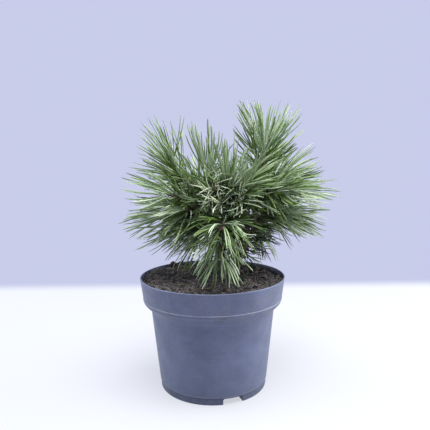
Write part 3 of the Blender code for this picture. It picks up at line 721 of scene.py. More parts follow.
def outer_profile():
    """The pot's outside from the middle of its underside up to the rim's top, with round edges."""
    foot_top = FOOT_HEIGHT + EDGE_ROUND
    wall = []
    for step in range(1, WALL_STEPS):
        height = foot_top + (SHOULDER_FOOT_HEIGHT - foot_top) * step / WALL_STEPS
        wall.append((wall_radius(height), height))
    return [
        (0.0, 0.0),
        *arc(FOOT_RADIUS - EDGE_ROUND, EDGE_ROUND, EDGE_ROUND, -90.0, 0.0, 4),
        (FOOT_RADIUS + EDGE_ROUND / 2.0, FOOT_HEIGHT - EDGE_ROUND / 2.0),
        *arc(WALL_FOOT_RADIUS - EDGE_ROUND, foot_top, EDGE_ROUND, -80.0, 0.0, 4),
        *wall,
        *shoulder_points(0.0)[:-1],
        *arc(BAND_FOOT_RADIUS - BEAD_STEP, BAND_FOOT_HEIGHT + BEAD_RADIUS, BEAD_RADIUS, -90.0, 60.0, 6),
        (band_radius(POT_HEIGHT - 4.0 * LIP_ROUND), POT_HEIGHT - 4.0 * LIP_ROUND),
        *arc(RIM_RADIUS - LIP_ROUND, POT_HEIGHT - LIP_ROUND, LIP_ROUND, -20.0, 90.0, 5),
        (0.0, POT_HEIGHT),
    ]


def inner_profile(clearance, floor, top):
    """The turned space inside the pot, from its floor to a height at the rim."""
    shift = POT_WALL + clearance
    return [
        (0.0, floor),
        (FOOT_RADIUS - shift, floor),
        *shoulder_points(shift),
        (band_radius(top) - shift, top),
        (0.0, top),
    ]


def new_ring(build, radius, height, sides):
    """A level ring of points round the axis."""
    ring = []
    for index in range(sides):
        angle = 2.0 * math.pi * index / sides
        ring.append(build.verts.new((radius * math.cos(angle), radius * math.sin(angle), height)))
    return ring


def join_rings(build, rings):
    """Faces between each ring of points and the next."""
    for lower, upper in zip(rings, rings[1:]):
        for index in range(len(lower)):
            after = (index + 1) % len(lower)
            build.faces.new((lower[index], lower[after], upper[after], upper[index]))


def close_ring(build, ring, pole):
    """Faces from a ring of points to one point."""
    for index in range(len(ring)):
        build.faces.new((ring[index], ring[(index + 1) % len(ring)], pole))


def turned(name, profile):
    """Turn a profile of (radius, height) points, from the axis below to the axis above."""
    build = bmesh.new()
    rings = [new_ring(build, radius, height, POT_SIDES) for radius, height in profile[1:-1]]
    join_rings(build, rings)
    for ring, end in ((rings[0], profile[0]), (rings[-1], profile[-1])):
        close_ring(build, ring, build.verts.new((0.0, 0.0, end[1])))
    return make_object(name, build)


def cut(thing, cutter):
    """Subtract a closed cutter from a thing, and remove the cutter."""
    modifier = thing.modifiers.new("cut", "BOOLEAN")
    modifier.operation = "DIFFERENCE"
    modifier.solver = "EXACT"
    modifier.object = cutter
    graph = bpy.context.evaluated_depsgraph_get()
    mesh = bpy.data.meshes.new_from_object(thing.evaluated_get(graph))
    thing.modifiers.clear()
    thing.data = mesh
    bpy.data.objects.remove(cutter, do_unlink=True)


def channel_turn(index):
    return math.radians(CHANNEL_TURN - 90.0 + 360.0 * index / CHANNEL_COUNT)


def channel_block(index, growth, end):
    """A bar with chamfered upper edges along one drainage channel, grown by a thickness."""
    half = CHANNEL_WIDTH / 2.0 + growth
    top = CHANNEL_HEIGHT + growth
    section = (
        (-half, -FLOOR_THICKNESS),
        (half, -FLOOR_THICKNESS),
        (half, top - CHANNEL_CORNER),
        (half - CHANNEL_CORNER, top),
        (CHANNEL_CORNER - half, top),
        (-half, top - CHANNEL_CORNER),
    )
    build = bmesh.new()
    rings = []
    for reach in (CHANNEL_START - growth, end):
        rings.append([build.verts.new((reach, side, height)) for side, height in section])
    join_rings(build, rings)
    for ring in rings:
        build.faces.new(ring)
    bmesh.ops.rotate(build, verts=build.verts, matrix=Matrix.Rotation(channel_turn(index), 3, "Z"))
    return make_object("channel", build)


def drain_hole(index, distance):
    build = bmesh.new()
    turn = channel_turn(index)
    place = Matrix.Translation((distance * math.cos(turn), distance * math.sin(turn), CHANNEL_HEIGHT))
    bmesh.ops.create_cone(
        build, cap_ends=True, segments=24, radius1=DRAIN_RADIUS, radius2=DRAIN_RADIUS,
        depth=4.0 * CHANNEL_COVER, matrix=place)
    return make_object("drain", build)


def make_pot():
    """The pot with its bead, lip and stepped foot, its channels and its drain holes."""
    inside = turned("inside", inner_profile(0.0, FLOOR_THICKNESS, POT_HEIGHT + POT_WALL))
    pot = turned("pot_shell", outer_profile())
    beyond = WALL_FOOT_RADIUS + CHANNEL_WIDTH
    for index in range(CHANNEL_COUNT):
        cut(inside, channel_block(index, CHANNEL_COVER, beyond))
    cut(pot, inside)
    for index in range(CHANNEL_COUNT):
        cut(pot, channel_block(index, 0.0, beyond))
        for distance in DRAIN_DISTANCES:
            cut(pot, drain_hole(index, distance))
    pot.data.materials.clear()
    pot.data.materials.append(plastic_material())
    pot.data.shade_smooth()
    pot.data.set_sharp_from_angle(angle=math.radians(40.0))
    finish_piece(pot, ["pot"])


def mix_waves():
    """The slow waves of the mix's surface, drawn as in the source."""
    draw = random.Random(SEED)
    return [(draw.uniform(0.0, math.pi), draw.uniform(90.0, 260.0), draw.uniform(0.0, 6.3))
            for _ in range(4)]


def mix_height(x, y, waves):
    """Height of the mix's uneven surface, level round the trunk's foot."""
    bump = 0.0
    for turn, pitch, phase in waves:
        bump += MIX_BUMP * math.sin((x * math.cos(turn) + y * math.sin(turn)) * pitch + phase)
    away = math.hypot(x - MIX_HEAP_PLACE[0], y - MIX_HEAP_PLACE[1])
    bump += MIX_HEAP_HEIGHT * math.exp(-((away / MIX_HEAP_SPREAD) ** 2))
    trunk_distance = math.hypot(x - TRUNK_FOOT[0], y - TRUNK_FOOT[1])
    share = min(max((trunk_distance - MIX_LEVEL_RADIUS) / MIX_LEVEL_FADE, 0.0), 1.0)
    return MIX_TOP + bump * share * share * (3.0 - 2.0 * share)


def crumbled_height(x, y, waves):
    """The mix's surface with its crumbs and hollows."""
    height = mix_height(x, y, waves)
    for pitch, depth in MIX_CRUMBLE:
        height += depth * noise.noise(Vector((x * pitch, y * pitch, pitch)))
    return height


def make_mix():
    """The mix: a crumbly top on a body that fills the pot."""
    waves = mix_waves()
    edge = band_radius(MIX_TOP) - POT_WALL - GAP
    build = bmesh.new()
    middle = build.verts.new((0.0, 0.0, crumbled_height(0.0, 0.0, waves)))
    rings = []
    for ring_index in range(1, MIX_RINGS + 1):
        radius = edge * ring_index / MIX_RINGS
        ring = []
        for index in range(MIX_SPOKES):
            angle = 2.0 * math.pi * (index + 0.5 * (ring_index % 2)) / MIX_SPOKES
            x = radius * math.cos(angle)
            y = radius * math.sin(angle)
            ring.append(build.verts.new((x, y, crumbled_height(x, y, waves))))
        rings.append(ring)
    floor = CHANNEL_HEIGHT + CHANNEL_COVER + GAP
    for radius, height in reversed(inner_profile(GAP, floor, MIX_TOP)[1:-2]):
        rings.append(new_ring(build, radius, height, MIX_SPOKES))
    join_rings(build, rings)
    close_ring(build, rings[0], middle)
    build.faces.new(rings[-1])
    mix = make_object("mix_bed", build, earth_material("mix_earth"))
    mix.data.shade_smooth()
    finish_piece(mix, ["potting_mix"])
    make_crumbs(waves, edge)


def icosahedron():
    """Points and faces of a plain icosahedron with a radius of one."""
    build = bmesh.new()
    bmesh.ops.create_icosphere(build, subdivisions=1, radius=1.0)
    points = np.array([tuple(vertex.co) for vertex in build.verts])
    faces = np.array([[vertex.index for vertex in face.verts] for face in build.faces])
    build.free()
    return points, faces


def random_turn(draw):
    """A turn in any direction as a matrix."""
    axis = Vector([draw.gauss(0.0, 1.0) for _ in range(3)])
    return np.array(Matrix.Rotation(draw.uniform(0.0, 2.0 * math.pi), 3, axis))


def add_lump(heap, draw, shape, place, sizes, rough):
    """Add one rough lump with three sizes to a heap."""
    points, faces = shape
    jitter = np.array([draw.uniform(1.0 - rough, 1.0 + rough) for _ in points])
    lump = (points * jitter[:, None] * np.array(sizes)) @ random_turn(draw).T
    heap.add(lump + np.array(place), [faces])


def mix_place(draw, edge, waves):
    """A random place on the mix."""
    radius = edge * math.sqrt(draw.random())
    angle = draw.uniform(0.0, 2.0 * math.pi)
    x = radius * math.cos(angle)
    y = radius * math.sin(angle)
    return x, y, crumbled_height(x, y, waves)


def make_crumbs(waves, edge):
    """Loose crumbs and bark chips on the mix, then its clods, fibres and dropped needles."""
    draw = random.Random(SEED + 1)
    shape = icosahedron()
    for name, matter, count, least, most, rough in CRUMBS:
        heap = Heap()
        for _ in range(count):
            size = least + (most - least) * draw.random() ** CRUMB_POWER
            x, y, z = mix_place(draw, edge - 2.0 * size - GAP, waves)
            sizes = (size * draw.uniform(1.0, 1.7), size, size * draw.uniform(0.45, 0.9))
            add_lump(heap, draw, shape, (x, y, z + 0.3 * size), sizes, rough)
        finish_piece(heap.make(name, earth_material(matter), 30.0), ["potting_mix"])
    make_clods(waves, draw)
    make_strands(waves, edge, draw)


def make_clods(waves, draw):
    """The larger clods, at the source's places."""
    build = bmesh.new()
    for x, y, radius in CLODS:
        fresh = bmesh.ops.create_icosphere(build, subdivisions=4, radius=radius)["verts"]
        shift = draw.uniform(0.0, 50.0)
        for vertex in fresh:
            place = vertex.co * (CLOD_PITCH / radius)
            swell = 1.0
            for pitch, depth, way in CLOD_WAVES:
                swell += depth * noise.noise(place * pitch + Vector(way) * shift)
            vertex.co *= min(swell, CLOD_MOST)
        bmesh.ops.translate(build, verts=fresh, vec=(x, y, mix_height(x, y, waves) + 0.5 * radius))
    clods = make_object("mix_clods", build, earth_material("clod_earth"))
    clods.data.shade_smooth()
    finish_piece(clods, ["potting_mix"])


def lying_strand(heap, draw, waves, start, turn, length, radius, bend, lift):
    """Add a thin strand that lies along the mix."""
    steps = STRAND_POINTS
    line = []
    x, y = start
    for step in range(steps):
        height = mix_height(x, y, waves) + radius + lift * math.sin(math.pi * step / (steps - 1))
        line.append((x, y, height + STRAND_CLEARANCE))
        x += math.cos(turn) * length / (steps - 1)
        y += math.sin(turn) * length / (steps - 1)
        turn += bend / (steps - 1) + draw.uniform(-0.08, 0.08)
    radii = radius * np.array([0.55] + [1.0] * (steps - 3) + [0.7, 0.25])
    add_limb(heap, line, radii, 5)


def make_strands(waves, edge, draw):
    """Root fibres on the mix, and the old needles that have dropped on it in pairs."""
    fibres = Heap()
    for _ in range(FIBRE_COUNT):
        x, y, _ = mix_place(draw, edge - FIBRE_MARGIN, waves)
        lying_strand(fibres, draw, waves, (x, y), draw.uniform(0.0, 6.3), draw.uniform(0.005, 0.014),
                     draw.uniform(0.00012, 0.00026), draw.uniform(-1.8, 1.8), draw.uniform(0.0, 0.0012))
    finish_piece(fibres.make("mix_fibres", earth_material("fibre_straw")), ["potting_mix"])
    dropped = Heap()
    for x, y, turn, length in FALLEN_NEEDLES:
        for side in (-0.05, 0.06):
            lying_strand(dropped, draw, waves, (x, y), math.radians(turn) + side, length, FALLEN_RADIUS,
                         FALLEN_BEND * side, FALLEN_ARCH)
    fade = needle_material("needle_fallen", *FALLEN_TONE)
    finish_piece(dropped.make("mix_fallen_needles", fade), ["potting_mix"])


def trunk_share(height):
    """How far up the trunk a height is, from 0 at its foot to 1 at its top."""
    foot = MIX_TOP + GAP
    return (height - foot) / (TRUNK_TOP_HEIGHT - foot)


def trunk_centre(height):
    """The leaning trunk's middle at a height: it leans most at its foot."""
    lean = math.sin(min(trunk_share(height), 1.0) * math.pi / 2.0)
    x = TRUNK_FOOT[0] + (TRUNK_TOP[0] - TRUNK_FOOT[0]) * lean
    y = TRUNK_FOOT[1] + (TRUNK_TOP[1] - TRUNK_FOOT[1]) * lean
    return np.array((x, y, height))


def trunk_radius(height, angle):
    """The trunk's radius at a height and a turn, with the lobes of its root flare."""
    share = min(max(trunk_share(height), 0.0), 1.0)
    radius = TRUNK_FOOT_RADIUS + (TRUNK_TOP_RADIUS - TRUNK_FOOT_RADIUS) * share
    rise = max(height - MIX_TOP - GAP, 0.0)
    flare = FLARE_RADIUS * math.exp(-rise / FLARE_HEIGHT)
    return radius + flare * (1.0 + FLARE_LOBE_DEPTH * math.cos(FLARE_LOBES * angle))


def bark_relief(place, depth):
    """How far bark stands out at a place: plates between long cracks."""
    crack = abs(noise.noise(Vector((place[0] * 420.0, place[1] * 420.0, place[2] * 130.0))))
    flake = noise.noise(Vector((place[0] * 950.0, place[1] * 950.0, place[2] * 420.0)))
    return depth * (min(crack * 3.0, 1.0) - 0.75 + 0.35 * flake)


def scale_relief(distance, angle, pitch, depth):
    """The bumps of old needle bases on a twig, on two crossing spirals."""
    first = math.sin((5.0 * angle + 2.0 * math.pi * distance / pitch) / 2.0)
    second = math.sin((8.0 * angle - 2.0 * math.pi * distance / (pitch * 0.62)) / 2.0)
    return depth * (abs(first * second) - 0.4)


def cubic(controls, shares):
    """Points of a cubic curve at shares of its way."""
    p0, p1, p2, p3 = controls
    t = np.asarray(shares, float)[:, None]
    u = 1.0 - t
    return p0 * u ** 3 + p1 * 3.0 * u * u * t + p2 * 3.0 * u * t * t + p3 * t ** 3


def even_line(controls):
    """A cubic curve as a fine line of points about LINE_STEP apart."""
    rough = cubic(controls, np.linspace(0.0, 1.0, 60))
    way = np.concatenate(([0.0], np.cumsum(np.linalg.norm(np.diff(rough, axis=0), axis=1))))
    steps = max(int(way[-1] / LINE_STEP), 8)
    marks = np.linspace(0.0, way[-1], steps + 1)
    return np.stack([np.interp(marks, way, rough[:, axis]) for axis in range(3)], axis=1)


def crown_place(turn, out, up):
    """A place given round the trunk's top."""
    return np.array((*TRUNK_TOP, TRUNK_TOP_HEIGHT)) + direction(turn, 0.0) * out + UP * up


def bough_curve(height, climb, tip):
    """The control points of a bough, from the trunk's middle to its tip."""
    start = trunk_centre(height)
    away = tip - start
    reach = np.linalg.norm(away)
    level = unit(away * np.array((1.0, 1.0, 0.0)))
    climb = math.radians(climb) + 0.5 * math.asin(away[2] / reach)
    leave = level * math.cos(climb) + UP * math.sin(climb)
    if height == TRUNK_TOP_HEIGHT:
        leave = UP
    arrive = unit(away / reach + BOUGH_LEVEL * level)
    return start, start + leave * reach * BOUGH_LEAVE, tip - arrive * reach * BOUGH_ARRIVE, tip


def shoot_curve(fork, arrive, bud, heading, climb):
    """The control points of a shoot, from where it forks off its bough's tip to its bud."""
    along = direction(heading, climb)
    reach = np.linalg.norm(bud - fork)
    return fork, fork + arrive * reach * SHOOT_LEAVE, bud - along * reach * SHOOT_ARRIVE, bud


Pair = namedtuple("Pair", "root aim bow pull length width curl share")


class Twig:
    """A twig along a fine line, with the needles that grow on its last length."""

    def __init__(self, owner, line, foot_radius, tip_radius, habit):
        self.owner = owner
        self.line = line
        self.radii = np.linspace(foot_radius, tip_radius, len(line))
        self.habit = habit
        steps = np.linalg.norm(np.diff(line, axis=0), axis=1)
        self.way = np.concatenate(([0.0], np.cumsum(steps)))
        self.length = self.way[-1]

    def place(self, share):
        """The point at a share of the twig's length, and the way that the twig points there."""
        mark = share * self.length
        index = min(int(np.searchsorted(self.way, mark, side="right")) - 1, len(self.line) - 2)
        before, after = self.line[index], self.line[index + 1]
        part = (mark - self.way[index]) / (self.way[index + 1] - self.way[index])
        return before + (after - before) * part, unit(after - before)

    def last_length(self):
        """The two ends of the twig's last third, which its mass's space is measured from."""
        return self.place(2.0 / 3.0)[0], self.line[-1]


class Limits:
    """Points along every limb, which needles and side twigs keep clear of."""

    def __init__(self):
        self.places = []
        self.radii = []
        self.owners = []

    def add(self, line, radii, owner):
        for point, radius in list(zip(line, radii))[::3]:
            self.places.append(point)
            self.radii.append(radius)
            self.owners.append(owner)

    def gaps(self, points, owner):
        """The smallest gap from each point to the limbs of other owners."""
        others = np.array([name != owner for name in self.owners])
        places = np.array(self.places)[others]
        radii = np.array(self.radii)[others]
        away = np.linalg.norm(points[:, None] - places[None], axis=2) - radii[None]
        return away.min(axis=1)


def add_bumpy_limb(heap, line, radii, bumps):
    """Add a limb with the bumps of its needle bases to a heap."""
    sides, pitch, depth = bumps
    rows = []
    for index, radius in enumerate(radii):
        distance = index * LINE_STEP
        rows.append([radius + scale_relief(distance, 2.0 * math.pi * side / sides, pitch, depth)
                     for side in range(sides)])
    add_limb(heap, line, np.array(rows), sides)


def add_trunk(heap, limits):
    """The trunk with its bark's relief, sunk a little way in the mix and rounded at its top."""
    rows = []
    line = []
    foot = MIX_TOP + GAP - TRUNK_SUNK
    for height in np.arange(foot, TRUNK_TOP_HEIGHT + TRUNK_TOP_RADIUS / 2.0, TRUNK_STEP):
        centre = trunk_centre(height)
        line.append(centre)
        ring = []
        over = max(height - TRUNK_TOP_HEIGHT, 0.0) / TRUNK_TOP_RADIUS
        for side in range(TRUNK_SIDES):
            angle = 2.0 * math.pi * side / TRUNK_SIDES
            radius = trunk_radius(height, angle) * math.sqrt(1.0 - (TRUNK_ROUNDING * over) ** 2)
            place = (centre[0] + radius * math.cos(angle), centre[1] + radius * math.sin(angle), height)
            ring.append(radius + bark_relief(place, TRUNK_RELIEF))
        rows.append(ring)
    line = np.array(line)
    outline = round_outline(np.array(rows), TRUNK_SIDES)
    upright = np.stack((outline[..., 0], outline[..., 1], np.zeros(outline.shape[:2])), axis=-1)
    heap.add(line[:, None] + upright, tube_faces(1, len(line), TRUNK_SIDES))
    limits.add(line, [trunk_radius(point[2], 0.0) for point in line], "trunk")


def make_limbs(limits):
    """The trunk and the boughs. Returns where each bough ends and points, and the boughs as twigs."""
    heap = Heap()
    add_trunk(heap, limits)
    tips = {}
    boughs = []
    for name, height, climb, turn, out, up in BOUGHS:
        tip = crown_place(turn, out, up)
        controls = bough_curve(height, climb, tip)
        bough = Twig(name, even_line(controls), BOUGH_FOOT_RADIUS, BOUGH_TIP_RADIUS, "inner")
        boughs.append(bough)
        collar = 1.0 + COLLAR_SWELL * np.exp(-np.arange(len(bough.line)) * LINE_STEP / COLLAR_LENGTH)
        add_bumpy_limb(heap, bough.line, bough.radii * collar, BOUGH_BUMPS)
        limits.add(bough.line, bough.radii, "bough_" + name)
        before_tip = cubic(controls, [1.0 - 1.0 / BOUGH_STEPS])[0]
        tips[name] = (tip, unit(tip - before_tip))
    finish_piece(heap.make("limb_bark", bark_material("limb_bark"), 60.0), LIMB_NODES)
    return tips, boughs


def grow_shoots(tips, limits):
    """The main shoots, each from its bough's tip to its bud."""
    shoots = []
    for name, turn, out, up, heading, climb, habit in SHOOTS:
        tip, arrive = tips[name]
        fork = tip + arrive * FORK_LENGTH
        line = even_line(shoot_curve(fork, arrive, crown_place(turn, out, up), heading, climb))
        line = np.concatenate(([tip - arrive * LINE_STEP, tip + arrive * LINE_STEP], line))
        shoot = Twig(name, line, SHOOT_FOOT_RADIUS, SHOOT_TIP_RADIUS, habit)
        shoots.append(shoot)
        limits.add(line, shoot.radii, name)
    return shoots


def old_lengths(shoots):
    """The lower part of each shoot, which bears last year's short needles, mostly dark with painted shade.
    """
    return [Twig(shoot.owner, shoot.line[:int(len(shoot.line) * OLD_PART)], SHOOT_FOOT_RADIUS,
                 SHOOT_TIP_RADIUS, "old") for shoot in shoots]


def grow_side_twigs(shoots, limits):
    """Side twigs of the shoots, each turned to where it clears other limbs."""
    twigs = []
    for number, shoot in enumerate(shoots):
        turn = random.Random(SIDE_SEEDS + number).uniform(0.0, 2.0 * math.pi)
        for start_share, lean, length in SIDE_TWIGS[:HABITS[shoot.habit][-1]]:
            start, along = shoot.place(start_share)
            lean = math.radians(lean)
            best = None
            for _ in range(SIDE_TRIES):
                turn += GOLDEN_TURN
                side = swung(across_from(along), along, turn)
                aim = along * math.cos(lean) + side * math.sin(lean)
                end = start + aim * length
                gap = limits.gaps(end[None], shoot.owner)[0]
                if best is None or gap > best[0]:
                    best = (gap, aim, end)
                if gap > 4.0 * SIDE_ROOM:
                    break
            gap, aim, end = best
            if gap < SIDE_ROOM:
                continue
            arrive = unit(aim + along)
            line = even_line((start, start + aim * length * 0.4, end - arrive * length * 0.3, end))
            habit = "curly_side" if shoot.habit == "curly" else "side"
            twig = Twig(shoot.owner, line, SIDE_RADIUS, SIDE_RADIUS * 0.9, habit)
            twigs.append(twig)
            limits.add(line, twig.radii, shoot.owner)
    return twigs


def needle_pairs(twig, draw):
    """The pairs on a twig, by the source's rule: they lean together in locks towards their tips."""
    usual_length, width, curl, droop, lean_foot, lean_tip, count, span, _ = HABITS[twig.habit]
    first_turn = draw.uniform(0.0, 2.0 * math.pi)
    locks = {}
    pairs = []
    bare = max(1.0 - span / twig.length, LEAST_BARE)
    for index in range(count):
        share = min((index + 0.7) / count, 0.985)
        root, along = twig.place(bare + (1.0 - bare) * share)
        turn = first_turn + index * GOLDEN_TURN + draw.uniform(-TURN_JITTER, TURN_JITTER)
        turn %= 2.0 * math.pi
        lean = lean_foot + (lean_tip - lean_foot) * share + draw.uniform(-LEAN_JITTER, LEAN_JITTER)
        stray = draw.random() < STRAY_SHARE
        lean += STRAY_LEAN * stray
        loose = stray or curl > LOOSE_CURL
        aim = leaning(along, turn, max(lean, LEAST_LEAN))
        key = (int(turn / (2.0 * math.pi) * LOCK_TURNS), int(share * LOCK_STEPS))
        if key not in locks:
            lock_lean = lean_foot + (lean_tip - lean_foot) * (key[1] + 0.5) / LOCK_STEPS
            lock_turn = 2.0 * math.pi * (key[0] + draw.uniform(0.25, 0.75)) / LOCK_TURNS
            locks[key] = leaning(along, lock_turn, lock_lean + draw.uniform(-LOCK_JITTER, LOCK_JITTER))
        pull = (locks[key] - aim) * LOCK_PULL * draw.uniform(0.4, 1.2) * (not loose)
        pull = pull - UP * droop * draw.uniform(0.2, 1.6)
        bow = unit(along - aim * (along @ aim) + 0.001 * UP)
        length = usual_length * (LENGTH_MOST - LENGTH_SPREAD * draw.random() ** 2)
        own_curl = curl * (1.2 - 0.6 * share) * draw.uniform(0.3, 1.4)
        root = root + aim * SHOOT_TIP_RADIUS * 0.6
        pairs.append(Pair(root, aim, bow, pull, length, width, own_curl, share))
    return pairs


def leaning(along, turn, lean):
    """The direction that leans off another by an angle in degrees, at a turn round it."""
    lean = math.radians(lean)
    return along * math.cos(lean) + swung(across_from(along), along, turn) * math.sin(lean)


class Spaces:
    """The space of each mass: what is nearer to its own shoots than to any other's."""

    def __init__(self, shoots):
        ends = [shoot.last_length() for shoot in shoots]
        self.starts = np.array([start for start, _ in ends])
        self.steps = np.array([end - start for start, end in ends])
        self.owners = np.array([shoot.owner for shoot in shoots])

    def holds(self, points, owner):
        """Whether each point is in an owner's space, or a little way into its neighbours'."""
        away = points[:, None] - self.starts[None]
        share = (away * self.steps).sum(axis=2) / (self.steps * self.steps).sum(axis=1)
        share = np.clip(share, 0.0, 1.0)
        distance = np.linalg.norm(away - self.steps[None] * share[..., None], axis=2)
        own = distance[:, self.owners == owner].min(axis=1)
        other = distance[:, self.owners != owner].min(axis=1)
        return own <= other + SPACE_SHARED


def clears_pot(points):
    """Whether each point is above the mix, and above the rim where it reaches that far."""
    out = np.hypot(points[..., 0], points[..., 1])
    floor = np.where(out < RIM_RADIUS - 4.0 * POT_WALL, MIX_TOP + MIX_HEAP_HEIGHT, POT_HEIGHT + POT_WALL)
    return points[..., 2] > floor


def inside_box(points):
    low = np.array(CAD_BOX[0])
    high = np.array(CAD_BOX[1])
    return ((points > low) & (points < high)).all(axis=-1)


def needle_line(pair, aim, length, phase, wave):
    """The middle line of one needle: a slow bow that leans to its lock, with a wave where it curls."""
    t = np.linspace(0.0, 1.0, NEEDLE_RINGS)[:, None]
    line = pair.root + aim * length * t - pair.bow * length * NEEDLE_BEND * 4.0 * t * (1.0 - t)
    line = line + pair.pull * length * t * t
    across = swung(pair.bow, pair.aim, phase)
    line = line + across * length * WAVE_REACH * pair.curl * np.sin(t * math.pi * wave) * t
    across = swung(pair.bow, pair.aim, phase + SWEEP_TURN)
    return line + across * length * SWEEP_REACH * pair.curl * t * t


def hooked_line(pair, aim, length, phase, wave):
    """The middle line of one curled needle, which bends on and on as it grows."""
    t = np.linspace(0.0, 1.0, NEEDLE_RINGS)[:, None]
    axis = swung(pair.bow, pair.aim, phase)
    steady, growing, waving = HOOK_BENDS
    bend = pair.curl * (steady * t + growing * t * t + waving * t * np.sin(t * math.pi * wave))
    along = aim * np.cos(bend) + np.cross(axis, aim) * np.sin(bend)
    along = along + axis * HOOK_RISE * np.sin(HOOK_PITCH * bend)
    steps = unit(along[1:] + along[:-1]) * length / (NEEDLE_RINGS - 1)
    return pair.root + np.concatenate((np.zeros((1, 3)), np.cumsum(steps, axis=0)))


def place_pair(pair, owner, spaces, limits, draw):
    """The two needles of a pair where they fit, at the longest of a few lengths, or nothing."""
    phase = draw.uniform(0.0, 2.0 * math.pi)
    wave = draw.uniform(0.8, 2.4)
    split = math.radians(PAIR_ANGLE) * draw.uniform(0.4, 1.7) / 2.0
    axis = swung(pair.bow, pair.aim, draw.uniform(0.0, math.pi))
    odd = draw.uniform(0.90, 1.0)
    twist = min(0.5 * pair.curl, PAIR_TWIST)
    shape = hooked_line if pair.curl > HOOK_CURL and pair.width < HOOK_WIDTH else needle_line
    for share in LENGTH_TRIES:
        lines = []
        for side, size in ((1.0, 1.0), (-1.0, odd)):
            own_aim = swung(pair.aim, axis, side * split)
            lines.append(shape(pair, own_aim, pair.length * share * size, phase + side * twist, wave))
        tips = np.array([line[-1] for line in lines])
        outer = np.concatenate([line[3:] for line in lines])
        fits = spaces.holds(tips, owner).all() and clears_pot(outer).all() and inside_box(outer).all()
        if fits and limits.gaps(outer, owner).min() > LIMB_ROOM:
            return lines, np.cross(pair.aim, axis)
    return None


def deal_tone(number, twig, pair, draw):
    """The tone of a pair: its spray's own mix, with darker tones as painted shade where it is old or
    inner, lighter ones as painted light above a height, and painted highlight or painted shade where it
    curls.
    """
    lit = pair.root[2] > TRUNK_TOP_HEIGHT + LIT_HEIGHT
    if twig.habit in INNER_HABITS and pair.root[2] < TRUNK_TOP_HEIGHT + LOW_HEIGHT:
        return draw.choice(LOW_INNER_TONES)
    if twig.habit in INNER_HABITS:
        return draw.choice(LIT_TONES if lit else INNER_SHADED_TONES)
    if draw.random() < STRAW_SHARE * (1.6 - pair.share):
        return "straw"
    if pair.share < OLD_SHARE * draw.random():
        return draw.choice(LIT_OLD_TONES if lit else OLD_SHADED_TONES)
    if twig.habit.startswith("curly"):
        return draw.choice(CURL_GLINT_AND_SHADE_TONES)
    if twig.habit in COOL_HABITS:
        return draw.choice(COOL_TONES)
    return draw.choice(SPRAY_TONES[number % len(SPRAY_TONES)])


def make_needles(twigs, spaces, limits):
    """Every pair of needles in its sheath, dealt to one piece a tone."""
    dealt = {tone: ([], [], []) for tone in TONES}
    sheaths = []
    for number, twig in enumerate(twigs):
        draw = random.Random(NEEDLE_SEEDS + number)
        for pair in needle_pairs(twig, draw):
            placed = place_pair(pair, twig.owner, spaces, limits, draw)
            if placed is None:
                continue
            lines, facing = placed
            tone = deal_tone(number, twig, pair, draw)
            for side, line in zip((-1.0, 1.0), lines):
                for values, value in zip(dealt[tone], (line, facing * side, pair.width)):
                    values.append(value)
            sheaths.append(pair.root + pair.aim * np.array(SHEATH_MARKS)[:, None])
    draw = random.Random(CROWN_SEED)
    for tone, (colour, tint) in TONES.items():
        heap = Heap()
        add_needles(heap, *map(np.array, dealt[tone]), draw)
        piece = heap.make("needles_" + tone, needle_material("needle_" + tone, colour, tint))
        finish_piece(piece, NEEDLE_NODES)
    paths = np.array(sheaths)
    across = np.array([across_from(unit(path[1] - path[0])) for path in paths])
    outline = round_outline(SHEATH_RADIUS * np.array(SHEATH_TAPER), SHEATH_SIDES)
    heap = Heap()
    heap.add(sweep(paths, across, outline[None]), tube_faces(len(paths), len(SHEATH_TAPER), SHEATH_SIDES))
    finish_piece(heap.make("needle_sheaths", bark_material("sheath_brown")), NEEDLE_NODES)


def add_needles(heap, lines, facings, widths, draw):
    """Half-round needles, flat towards their partner at the root and twisting towards the tip."""
    count = len(lines)
    turns = np.array([draw.uniform(-2.4, 2.4) for _ in range(count)])
    widths = NEEDLE_HALF_WIDTH * widths * np.array([draw.uniform(0.86, 1.12) for _ in range(count)])
    angle = (turns[:, None] * np.linspace(0.0, 1.0, NEEDLE_RINGS))[..., None]
    size = widths[:, None] * np.array(NEEDLE_TAPER)
    flat, bulge = np.array(NEEDLE_OUTLINE).T
    x = flat * np.cos(angle) - bulge * np.sin(angle)
    y = flat * np.sin(angle) + bulge * np.cos(angle)
    rings = np.stack((x, y), axis=-1) * size[..., None, None]
    heap.add(sweep(lines, facings, rings), tube_faces(count, NEEDLE_RINGS, len(NEEDLE_OUTLINE)))


def make_twigs(shoots, side_twigs):
    """The shoots and side twigs, with the bumps of their needle bases."""
    heap = Heap()
    for twigs, bumps in ((shoots, SHOOT_BUMPS), (side_twigs, SIDE_BUMPS)):
        for twig in twigs:
            add_bumpy_limb(heap, twig.line, twig.radii, bumps)
    finish_piece(heap.make("twig_bark", bark_material("twig_bark"), 60.0), NEEDLE_NODES)


def add_bud(heap, base, along, length, radius, turn):
    """A pointed bud with overlapping scales."""
    shares = np.linspace(0.0, 1.0, BUD_RINGS)
    rows = []
    for share in shares:
        swell = radius * (0.62 + 0.38 * math.sin(min(share / BUD_WIDEST, 1.0) * math.pi / 2.0))
        if share > BUD_WIDEST:
            past = (share - BUD_WIDEST) / BUD_POINT
            swell = radius * max(math.cos(past * math.pi / 2.0), 0.0) ** 0.8
        row = []
        for side in range(BUD_SIDES):
            angle = 2.0 * math.pi * side / BUD_SIDES + turn
            lattice = math.sin(5.0 * angle + 24.0 * share) * math.sin(3.0 * angle - 31.0 * share)
            row.append(max(swell * (1.0 + 0.13 * lattice), 0.00008))
        rows.append(row)
    add_limb(heap, base + along * length * shares[:, None], np.array(rows), BUD_SIDES)


